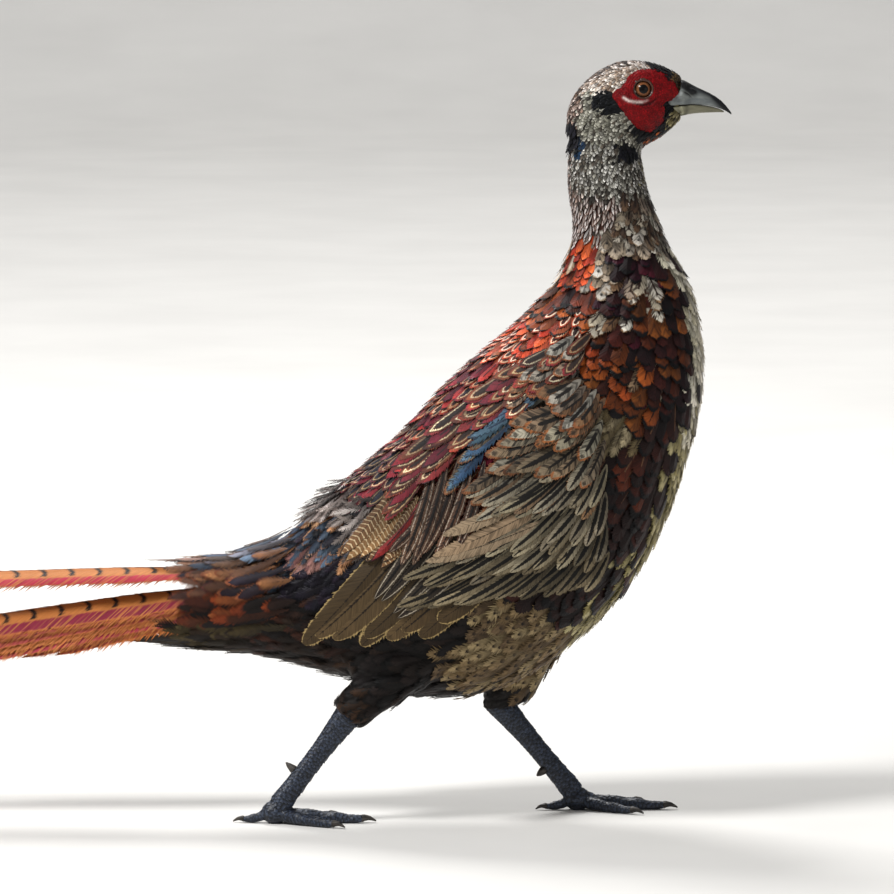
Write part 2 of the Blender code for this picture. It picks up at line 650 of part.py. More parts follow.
def tail_vane(side, pair, random):
    """One vane of the tail, tapering from the root to its tip."""
    first = pair == 0
    length = (TAIL_LENGTHS[pair] - 0.008) * (1.0 if first else random.uniform(0.97, 1.03))
    droop = math.radians(TAIL_FIRST_DROOP if first else TAIL_DROOP + TAIL_FAN * pair)
    yaw = math.radians(TAIL_YAW + TAIL_YAW_STEP * pair)
    roll = math.radians(TAIL_FIRST_ROLL if first else TAIL_ROLL + TAIL_ROLL_STEP * pair)
    height = TAIL_FIRST_HEIGHT if first else TAIL_HEIGHT - TAIL_STEP_DOWN * (pair - 1)
    width = TAIL_WIDTH + (TAIL_WIDTH_LAST - TAIL_WIDTH) * pair / (len(TAIL_LENGTHS) - 1)
    ahead = Vector((-math.cos(droop) * math.cos(yaw), side * math.sin(yaw), -math.sin(droop)))
    across = Vector((0, side * math.cos(roll), -math.sin(roll)))
    out = Vector((0, side * math.sin(roll), math.cos(roll)))
    start = Vector((TAIL_ROOT[0] - 0.008, side * (0.0006 + 0.0003 * pair), TAIL_ROOT[1] + height))
    start += across * (width / 2)
    top, bottom = [], []
    for t, wide in TAIL_LONG if pair < 3 else TAIL_SHORT:
        thick = VANE_THICK * 1.2 if t < 1 else VANE_TIP_THICK
        middle = start + ahead * (length * t) - Vector((0, 0, TAIL_SAG * t * t))
        upper, lower = [], []
        for edge in (-1, 0, 1):
            place = middle + across * (edge * width / 2 * wide)
            upper.append(place + out * (thick / 2 + (SHAFT_RAISE * 2 * (1 - t) if edge == 0 else 0.0)))
            lower.append(place - out * (thick / 2))
        top.append(upper)
        bottom.append(lower)
    return slab("vane", top, bottom)


def tail_covert(side, angle, length, high):
    """One covert lying along the root of the tail, bent round it and closing on the long vanes."""
    reach = 0.045
    towards_top = math.cos(math.radians(angle))
    closing = -0.02 - 0.02 * max(towards_top, 0.0) + 0.10 * max(-towards_top, 0.0)
    top, bottom = [], []
    for t, wide in SHORT_VANE:
        s = TORSO_END + 0.3 + (14.0 - TORSO_END - 0.3) * min(t * length / reach, 1.0)
        past = max(t * length - reach, 0.0)
        _, _, back, _, flank = section(s)
        upper, lower = [], []
        for edge in (-1, 1):
            turn = angle + math.degrees(edge * COVERT_WIDTH * wide / (back + flank))
            lift = -0.0014 + (high + 0.0014) * t + COVERT_TILT * edge * t
            for row, more in ((upper, VANE_THICK), (lower, 0.0)):
                x, y, z = body_point(s, turn, lift + more)
                row.append(Vector((x - past, side * y * (1 - 2.0 * past), z + closing * past)))
        top.append(upper)
        bottom.append(lower)
    return slab("covert", top, bottom)


def make_tail():
    """The tail: its covered root, with the roof of long vanes and the coverts rooted in it."""
    rings = [[body_point(s, 18.0 * k) for k in range(20)] for s in np.linspace(TORSO_END - 0.2, 14.0, 6)]
    tail = loft("tail", rings)
    cut_across(tail, TORSO_END, -1)
    random = np.random.default_rng(11)
    vanes = []
    for side in (1, -1):
        vanes += [tail_vane(side, pair, random) for pair in range(len(TAIL_LENGTHS))]
        vanes += [tail_covert(side, *covert) for covert in TAIL_COVERTS]
    boolean(tail, vanes, "UNION")
    join_flat_faces(tail)
    return tail


def make_thigh(name, leg, torso):
    """The feathered shin, from the knee hidden in the torso's plumage to the hock."""
    side, knee, hock = leg["side"], leg["knee"], leg["hock"]
    start = Vector((knee[0], side * KNEE_OUT, knee[1]))
    end = Vector((hock[0], side * STANCE, hock[1]))
    past = end + (end - start).normalized() * 0.008
    shares = (0.0, 0.3, 0.6, 0.85, 1.0)
    points = [start.lerp(past, t) for t in shares]
    thigh = tube(name, points, THIGH_RADII, 16, flatten=0.9)
    cut_at, direction = hock_plane(leg)
    cut(thigh, cut_at - direction * (GAP / 2), direction)
    boolean(thigh, [swollen_copy(torso, GAP * 1.4)], "DIFFERENCE")
    boolean(thigh, [make_wing_room(side)], "DIFFERENCE")
    return thigh


def hock_plane(leg):
    """The plane where shin and shank meet, halfway between their two directions."""
    side, knee, hock, foot = leg["side"], leg["knee"], leg["hock"], leg["foot"]
    down = (Vector((hock[0] - knee[0], 0, hock[1] - knee[1]))).normalized()
    on = (Vector((foot[0] - hock[0], 0, foot[1] - hock[1]))).normalized()
    return Vector((hock[0], side * STANCE, hock[1])), (down + on).normalized()


def make_shank(name, leg):
    """The bare shank with a row of scutes raised down its front, cut to meet shin and foot."""
    side, hock, foot = leg["side"], leg["hock"], leg["foot"]
    start, end = Vector((hock[0], side * STANCE, hock[1])), Vector((foot[0], side * STANCE, foot[1]))
    ahead = (end - start).normalized()
    front = Vector((-ahead.z, 0, ahead.x))
    across = Vector((0, 1, 0))
    begin = start - ahead * 0.010
    length = (end - begin).length
    rings, sides = [], 10
    for k in range(SCUTES):
        for part, raised in ((0.06, 0.0), (0.94, SCUTE_RAISE)):
            t = (k + part) / SCUTES
            radius = along(np.array(SHANK_RADII)[:, None], t * (len(SHANK_RADII) - 1))[0][0]
            ring = []
            for m in range(sides):
                turn = 2 * math.pi * (m + 0.5) / sides
                facing = max(0.0, math.cos(turn)) ** 0.5
                out = front * math.cos(turn) * (radius + raised * facing)
                ring.append(begin + ahead * (t * length) + out + across * (math.sin(turn) * radius * 0.82))
            rings.append(ring)
    shank = loft(name, rings)
    cut_at, direction = hock_plane(leg)
    cut(shank, cut_at + direction * (GAP / 2), -direction)
    cut(shank, end - ahead * (0.004 + GAP / 2), ahead)
    return shank


def make_spur(name, leg, shank):
    """A short blunt spur on the inner back of the shank."""
    side, hock, foot = leg["side"], leg["hock"], leg["foot"]
    start, end = Vector((hock[0], side * STANCE, hock[1])), Vector((foot[0], side * STANCE, foot[1]))
    ahead = (end - start).normalized()
    back = Vector((ahead.z, 0, -ahead.x))
    middle = start.lerp(end, SPUR_AT)
    aim = (back + ahead * 0.1 - Vector((0, side * 0.35, 0))).normalized()
    root = middle + aim * 0.0030
    points = [root + aim * (SPUR_LENGTH * t) + Vector((0, 0, 0.0012 * t * t)) for t in (0, 0.4, 0.75, 1.0)]
    spur = tube(name, points, [SPUR_RADIUS * r for r in (1.0, 0.8, 0.5, 0.12)], 8)
    boolean(spur, [swollen_copy(shank, GAP * 1.4)], "DIFFERENCE")
    return spur


def toe_line(leg, toe):
    """Points and radii along a toe, lying on the floor, and its direction at the tip."""
    turn, length, thick, thin = TOES[toe]
    side, foot = leg["side"], leg["foot"]
    heading = math.radians(-side * turn)
    aim = Vector((math.cos(heading), math.sin(heading), 0))
    root = Vector((foot[0], side * STANCE, 0))
    points, radii = [], []
    for t in (0.0, 0.22, 0.38, 0.54, 0.70, 0.86, 1.0):
        swell = 1.0 + 0.10 * math.cos(t * 2 * math.pi * 3)
        radius = (thick + (thin - thick) * t) * swell
        rise = (radius - SOLE_SINK) + (0.0052 if toe == "hind" else 0.0022) * (1 - t) ** 2
        points.append(root + aim * (t * length) + Vector((0, 0, rise)))
        radii.append(radius)
    return points, radii, aim


def make_foot(name, leg, shank):
    """Three toes ahead and one behind, fused round the joint, with flat soles at floor level."""
    side, foot = leg["side"], leg["foot"]
    joint = Vector((foot[0], side * STANCE, foot[1]))
    pad = ellipsoid(name, joint - Vector((0, 0, 0.0012)), (0.0078, 0.0068, 0.0070), 12, 7)
    toes = []
    for toe in TOES:
        points, radii, _ = toe_line(leg, toe)
        toes.append(tube("toe", points, radii, 8))
    boolean(pad, toes, "UNION")
    boolean(pad, [swollen_copy(shank, GAP * 1.4)], "DIFFERENCE")
    cut(pad, (0, 0, 0), (0, 0, -1))
    return pad


def make_claw(name, leg, toe):
    """A curved, pointed claw that carries on from the tip of its toe."""
    points, radii, aim = toe_line(leg, toe)
    ahead = (points[-1] - points[-2]).normalized()
    start = points[-1] - ahead * 0.001
    length = CLAW_LENGTH * (0.8 if toe == "hind" else 1.0)
    centres, thick = [], []
    for t in (0.0, 0.3, 0.6, 0.85, 1.0):
        bend = 0.0010 * math.sin(math.pi * t) - 0.0012 * t * t
        centres.append(start + aim * (length * t) + Vector((0, 0, bend)))
        thick.append(radii[-1] * 0.88 * (1 - 0.86 * t))
    claw = tube(name, centres, thick, 6)
    cut(claw, points[-1] + ahead * GAP, -ahead)
    return claw


def finish(obj, look, origin, parent):
    """Gives a piece its own material, smooth shading, its own origin and its parent."""
    colour, roughness = look
    surface = bpy.data.materials.new(obj.name)
    surface.use_nodes = True
    shader = surface.node_tree.nodes["Principled BSDF"]
    shader.inputs["Base Color"].default_value = (*colour, 1.0)
    shader.inputs["Roughness"].default_value = roughness
    obj.data.materials.clear()
    obj.data.materials.append(surface)
    obj.data.shade_smooth()
    obj.data.set_sharp_from_angle(angle=math.radians(40))
    obj.data.transform(Matrix.Translation(-Vector(origin)))
    obj.location = Vector(origin)
    obj.parent = parent


def main():
    clear_scene()
    bird = bpy.data.objects.new("pheasant", None)
    bpy.context.scene.collection.objects.link(bird)

    torso = make_torso()
    head, side_at = make_head()
    pieces = [
        (torso, CHESTNUT, (BODY[9][0], 0, BODY[9][1])),
        (head, PALE, (EYE_AT[0], 0, EYE_AT[1])),
        (make_neck(), PALE, (BODY[3][0], 0, BODY[3][1])),
        (make_tail(), COPPERY, (TAIL_ROOT[0], 0, TAIL_ROOT[1])),
    ]
    pieces += [(half, HORN, (BILL_ROOT, 0, NOSTRIL_AT[1])) for half in make_bill()]
    bed = make_bed()
    for name, leg in LEGS.items():
        side = leg["side"]
        hock = (leg["hock"][0], side * STANCE, leg["hock"][1])
        foot = (leg["foot"][0], side * STANCE, leg["foot"][1])
        eye = make_eye("eye_" + name, side, side_at, EYE_RADIUS)
        wing = make_wing("wing_" + name, side, bed)
        shank = make_shank("shank_" + name, leg)
        pieces += [
            (eye, EYE_LOOK, (EYE_AT[0], side * side_at(*EYE_AT), EYE_AT[1])),
            (wing, BARRED, tuple(bed_point(side, ARM_FRONT[0], 90.0, 0.0))),
            (make_thigh("thigh_" + name, leg, torso), DARK_DOWN, hock),
            (shank, LEG_SKIN, hock),
            (make_spur("spur_" + name, leg, shank), CLAW_HORN, hock),
            (make_foot("foot_" + name, leg, shank), LEG_SKIN, foot),
        ]
        pieces += [(make_claw(f"claw_{name}_{toe}", leg, toe), CLAW_HORN, foot) for toe in TOES]

    for piece in pieces:
        finish(*piece, bird)
    ends = [obj.location.x + v.co.x for obj, *_ in pieces for v in obj.data.vertices]
    bird.location.x = -(min(ends) + max(ends)) / 2


main()
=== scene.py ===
"""Looks of a common pheasant: skin, plumage, face, eyes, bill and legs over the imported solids.

Places in the side view are given in millimetres: x from the pheasant's own origin, which lies under its
breast, towards the bill, and z from the floor. Every feather is a thin mesh of barbs that lies along the
skin, follows the lie of the coat there, and carries its own colours and its own bands.
"""

import math
from collections import defaultdict
from functools import partial

import bmesh
import bpy
import numpy as np
from bpy.props import FloatProperty, FloatVectorProperty, IntProperty, PointerProperty
from mathutils import Matrix, Vector, noise
from mathutils.bvhtree import BVHTree
from mathutils.kdtree import KDTree


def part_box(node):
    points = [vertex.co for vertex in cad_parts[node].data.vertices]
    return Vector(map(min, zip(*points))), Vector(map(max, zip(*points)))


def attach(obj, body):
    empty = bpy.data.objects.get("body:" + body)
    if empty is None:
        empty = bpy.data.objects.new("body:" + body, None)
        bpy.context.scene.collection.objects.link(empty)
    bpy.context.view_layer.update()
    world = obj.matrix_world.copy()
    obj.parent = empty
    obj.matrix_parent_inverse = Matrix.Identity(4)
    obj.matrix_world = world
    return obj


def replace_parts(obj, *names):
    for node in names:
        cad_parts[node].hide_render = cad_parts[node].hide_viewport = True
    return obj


bl_info = {
    "name": "Common Pheasant",
    "version": (1, 0, 0),
    "blender": (4, 5, 0),
    "location": "View3D > Sidebar > Pheasant",
    "description": "Builds the skin, plumage, face, eyes, bill and legs of a common pheasant",
    "category": "Add Mesh",
}

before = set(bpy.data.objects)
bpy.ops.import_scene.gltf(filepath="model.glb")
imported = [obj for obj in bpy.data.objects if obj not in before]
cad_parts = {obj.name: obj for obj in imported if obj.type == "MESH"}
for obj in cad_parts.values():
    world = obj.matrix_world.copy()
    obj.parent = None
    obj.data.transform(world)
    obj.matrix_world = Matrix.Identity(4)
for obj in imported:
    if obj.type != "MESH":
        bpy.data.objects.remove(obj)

MM = 0.001
# How far ahead of the pheasant's own origin its bill ends, which gives the place of that origin.
BILL_TIP = 0.1686
BIRD_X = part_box("bill_upper")[1].x - BILL_TIP
LEGS = {"right": -1, "left": 1}
TOES = ("middle", "inner", "outer", "hind")
# The upper and lower ends of the shanks in the side view.
HOCKS = {"right": (-53.5, 63.0), "left": (36.5, 60.5)}
ANKLES = {"right": (-95.5, 8.0), "left": (80.5, 8.0)}

# The side view is seen from a little above, so what stands out from the middle shows lower by this share.
DROPS = math.tan(math.radians(6.0))

# The lie of the coat: places in the side view, and where the feathers there point, in degrees turned
# from straight ahead up and over.
LIE = (
    (140, 428, 160), (126, 438, 172), (108, 441, 185), (90, 434, 205), (76, 415, 240), (105, 415, 200),
    (128, 410, 205), (142, 408, 205), (128, 396, 222), (116, 388, 250), (84, 396, 255), (76, 370, 268),
    (96, 365, 268), (118, 362, 272), (78, 340, 250), (100, 335, 262), (128, 340, 285), (52, 292, 224),
    (95, 290, 250), (146, 300, 280), (152, 250, 262), (110, 240, 240), (60, 240, 228), (10, 235, 222),
    (136, 190, 240), (90, 180, 225), (-10, 195, 220), (-45, 200, 220), (110, 130, 218), (60, 95, 200),
    (40, 140, 205), (0, 75, 186), (-20, 120, 192), (-70, 165, 214), (-95, 155, 212), (-64, 90, 178),
    (-100, 100, 175), (-120, 140, 192), (-140, 125, 180),
)

# How deep the coat is over the skin, by height above the floor.
COAT_DEPTH = (
    (0.000, 0.0010), (0.075, 0.0012), (0.095, 0.0015), (0.320, 0.0014), (0.385, 0.0007), (0.410, 0.0003),
)
# The skin is made of fattened solids, whose gaps close, and thinned again by as much.
FATTEN, SKIN_VOXEL = 0.0008, 0.0020
# How far the root of a small feather stands off the skin, the width of its patch on the baking map, and how
# many feathers of a wing lie side by side on that map.
ROOT_LIFT, PATCH, MAP_COLUMNS = 0.0002, 0.003, 12

# How many places are tried for each feather, the share of its spacing at which the next may grow, and how
# often all of them are pushed apart.
TRIES, CLOSEST, PUSHES = 5, 0.86, 5
# Where the coat ends in the side view: behind the root of the tail, below the hocks, inside the rim of the
# red face, and where the bill is, from a height up.
COAT_BACK, COAT_LOW, FACE_MARGIN, BILL_FROM = -117, 57, -1.2, 395
# How far behind the pheasant's origin the skin goes on into the root of the tail.
SKIN_BACK = 0.122

# The red skin of the face: how far it reaches from the eye, by degrees turned from straight ahead.
EYE_AT = (117.2, 425.3)
FACE_OUTLINE = (
    (0, 19.6), (10, 18.4), (26, 17.0), (41, 14.6), (57, 12.7), (84, 10.8), (115, 10.4), (137, 10.8),
    (160, 10.6), (176, 12.6), (185, 17.6), (194, 18.6), (208, 16.9), (228, 17.2), (252, 20.6),
    (266, 23.8), (279, 26.0), (288, 25.8), (301, 22.3), (313, 18.2), (321, 15.2), (331, 14.8),
    (337, 18.6), (345, 21.6), (352, 21.2), (360, 19.6),
)

# How far forward the feathers reach to the horn of the bill: heights and reaches in the side view.
HORN_EDGE = (
    (409, 141.0), (411.5, 137.5), (414, 134.5), (417.5, 131.2), (420, 134.0), (423, 138.8), (428, 141.3),
)

# Where each kind of feather grows, in the side view.
PLACES = {
    "forehead": ((143, 423), (139, 427), (137, 431)),
    "face_black": ((123, 440), (128, 438), (132, 435), (135, 431), (116, 400), (120, 397), (126, 398),
        (130, 403), (132, 409), (130, 414), (133, 418)),
    "crown": ((93, 437), (100, 440), (108, 441), (116, 441), (85, 432), (80, 426)),
    "brow": ((119, 437), (113, 437), (106, 436), (99, 432), (93, 427), (88, 425)),
    "ear_black": ((94, 419), (97, 415), (100, 412), (103, 411)),
    "cheek": ((87, 411), (85, 404), (93, 405), (101, 407), (108, 406), (95, 397), (104, 398), (111, 397),
        (118, 391), (88, 397), (88, 419), (89, 423), (93, 410)),
    "throat_black": ((105, 391), (110, 388), (107, 387)),
    "chin": ((146, 413), (141, 410), (137, 407), (134, 403)),
    "rust": ((129, 397), (125, 394)),
    "throat": ((119, 384), (119, 376)),
    "neck": ((79, 389), (87, 389), (96, 389), (79, 379), (87, 379), (96, 379), (106, 378), (113, 378),
        (81, 370), (90, 370), (100, 369), (109, 368), (117, 368), (99, 385), (105, 382), (112, 383),
        (100, 392)),
    "nape": ((77, 418), (73, 411), (72, 400), (72, 389), (72, 377), (74, 365), (77, 357)),
    "nape_black": ((71, 405), (74, 396)),
    "nape_blue": ((81, 390),),
    "lower_neck": ((82, 357), (90, 357), (99, 357), (81, 348), (89, 348), (97, 347), (85, 340), (93, 340),
        (77, 339)),
    "neck_front": ((110, 358), (118, 358), (106, 350), (114, 349), (122, 347), (109, 342), (117, 339),
        (125, 336)),
    "flame": ((81, 333), (86, 328), (91, 333), (87, 322), (82, 324)),
    "mantle_pale": ((67, 324), (71, 331), (74, 336)),
    "old_spotted": ((95, 341), (95, 333), (96, 324), (111, 341)),
    "maroon": ((103, 332), (110, 333), (117, 328), (107, 325), (97, 310), (104, 309), (113, 280),
        (123, 281), (121, 287)),
    "old_white": ((123, 333), (126, 320), (116, 317), (109, 318), (104, 296), (125, 311), (119, 287),
        (131, 301), (121, 313), (136, 289), (98, 262), (144, 241), (128, 244), (117, 260)),
    "chestnut": ((119, 304), (114, 302), (128, 302), (135, 284), (139, 289), (116, 263), (123, 253),
        (130, 242), (119, 241), (106, 263), (111, 271)),
    # Painted light: pale feathers down the front edge of the breast stand for light glowing through that
    # edge.
    "stripe_pale": ((131, 337), (136, 330), (140, 322), (144, 312), (148, 302), (150, 294), (152, 285),
        (152, 276), (152, 266), (152, 255), (151, 247), (151, 238), (148, 230), (136, 318), (139.5, 307),
        (143, 297), (145, 287), (146, 277), (147, 268), (147, 258), (147, 248)),
    "breast_dark": ((127, 327), (130, 314), (134, 304), (137, 294), (139, 285), (140, 276), (135, 269),
        (125, 269), (118, 280), (109, 291), (136, 246), (110, 274), (135, 253), (140, 266), (140, 256),
        (131, 292), (124, 303), (112, 306), (106, 283), (126, 284)),
    "copper": ((77, 302), (84, 309), (90, 302), (86, 278), (94, 283), (96, 273), (90, 266), (75, 253),
        (81, 259), (86, 248), (70, 298), (100, 271), (103, 258)),
    "buff": ((96, 245), (102, 237), (94, 230), (108, 241), (111, 234), (100, 226), (116, 234)),
    "buff_spot": ((144, 241), (130, 245)),
    "lower_breast": ((108, 220), (117, 217), (124, 223), (131, 233), (114, 204), (108, 198), (112, 189),
        (104, 210), (123, 233), (136, 240), (121, 212), (128, 229)),
    "lower_dark": ((129, 222), (127, 206), (120, 194), (117, 183), (115, 174), (111, 165), (105, 154),
        (97, 142), (87, 130), (100, 166), (98, 182), (98, 196), (133, 233), (92, 150), (78, 134)),
    # Painted light: the glow along the front edge of the breast goes on down the lower breast in olive.
    "stripe_olive": ((145, 223), (142, 214), (139, 204), (135, 194), (132, 184), (129, 174), (125, 163),
        (118, 148.5), (108, 134), (97, 121), (87, 110), (146, 218), (143, 232), (139, 224), (136, 213)),
    "belly": ((71, 121), (59, 116), (46, 109), (35, 100), (24, 92), (59, 99), (71, 104), (81, 111),
        (48, 90), (35, 81), (58, 81)),
    "flank": ((17, 115), (6, 104), (-6, 97), (-16, 92), (-22, 75), (0, 79), (14, 72), (-28, 104),
        (-35, 99)),
    "vent": ((-12, 67), (-35, 74), (-51, 75), (-58, 93)),
    "mantle": ((73, 289), (65, 281), (56, 273), (67, 271), (75, 277), (61, 289), (53, 263), (46, 266),
        (70, 262), (78, 287), (82, 296)),
    "back": ((39, 254), (28, 246), (16, 237), (5, 227), (-7, 217), (35, 259), (23, 251), (13, 241),
        (0, 231), (-12, 220)),
    "low_back": ((-20, 208), (-28, 202), (-35, 197), (-41, 194), (-17, 215)),
    "rump_down": ((-52, 190), (-58, 193), (-64, 189), (-46, 184), (-68, 186)),
    "rump_orange": ((-81, 177), (-75, 182), (-87, 169), (-85, 179), (-90, 162)),
    "rump_blue": ((-66, 175), (-72, 169), (-60, 172), (-86, 158), (-81, 153)),
    "rump_pink": ((-71, 160), (-67, 155)),
    "rump_dark": ((-68, 143), (-60, 145), (-74, 136), (-56, 135)),
    "undertail": ((-64, 121), (-74, 126), (-51, 104), (-81, 115), (-92, 126), (-86, 137)),
    "shin": ((-54, 63), (-50, 67), (-45, 71), (-40, 75), (-34, 79), (-45, 62), (35, 62), (38, 66), (40, 71),
        (42, 76), (46, 70), (48, 78), (36, 57), (60, 64), (30, 70)),
    "shoulder": ((71, 260), (61, 252), (53, 244), (80, 266), (66, 242)),
}


def kind(size, ground, every=0.0, lift=0.0, centre="2a1f18", band="2a211a", edge="2a1f18", **more):
    """One kind of feather: length and width, colours, and spacing and lift of the tip, in millimetres.

    Each colour is picked from sRGB ones: the ground, the centre along the shaft, the band and the edge.
    bands: how far the centre reaches from the shaft, the inner and outer side of the band, and where the
    edge begins, all as shares of the way out from the shaft. tip: where along the feather a crescent of
    the edge's colour begins. bars: strength, count and reach. bar_half: half their share of the spacing.
    straight: 0 for bars along the barbs and 1 for bars straight across. centre_from: where along the
    feather the centre begins to show. round: how far its bands close round the tip. mottle: strength of
    dark blotches. loose: how far in the barbs part. point: 1 for a round tip and more for a pointed one.
    blunt: more for a vane that keeps its width longer. slant: how far the barbs lean. shaft_at: the
    shaft's place across, from -1 to 1. strips: strips of faces in each half of the vane. vary: how much
    feathers differ in brightness. stray: and in direction, in degrees. deep: how much painted shade darkens
    their roots.
    """
    look = {
        "size": size, "every": every, "lift": lift, "ground": ground, "centre": centre, "band": band,
        "edge": edge, "bands": (0.0, 2.0, 2.0, 2.0), "tip": 2.0, "bars": (0.0, 0.0, 0.0), "gloss": 0.2,
        "centre_from": -1.0, "loose": 0.8, "point": 1.0, "barbs": max(4, min(14, round(0.8 * size[0]))),
        "vary": 0.15, "stray": 7.0, "round": 1.0, "mottle": 0.0, "straight": 0.0, "slant": 0.62,
        "blunt": 3.0, "shaft_at": 0.0, "bar_half": 0.2, "deep": 0.5, "strips": 1 if size[0] < 30 else 2,
    }
    look.update(more)
    return look


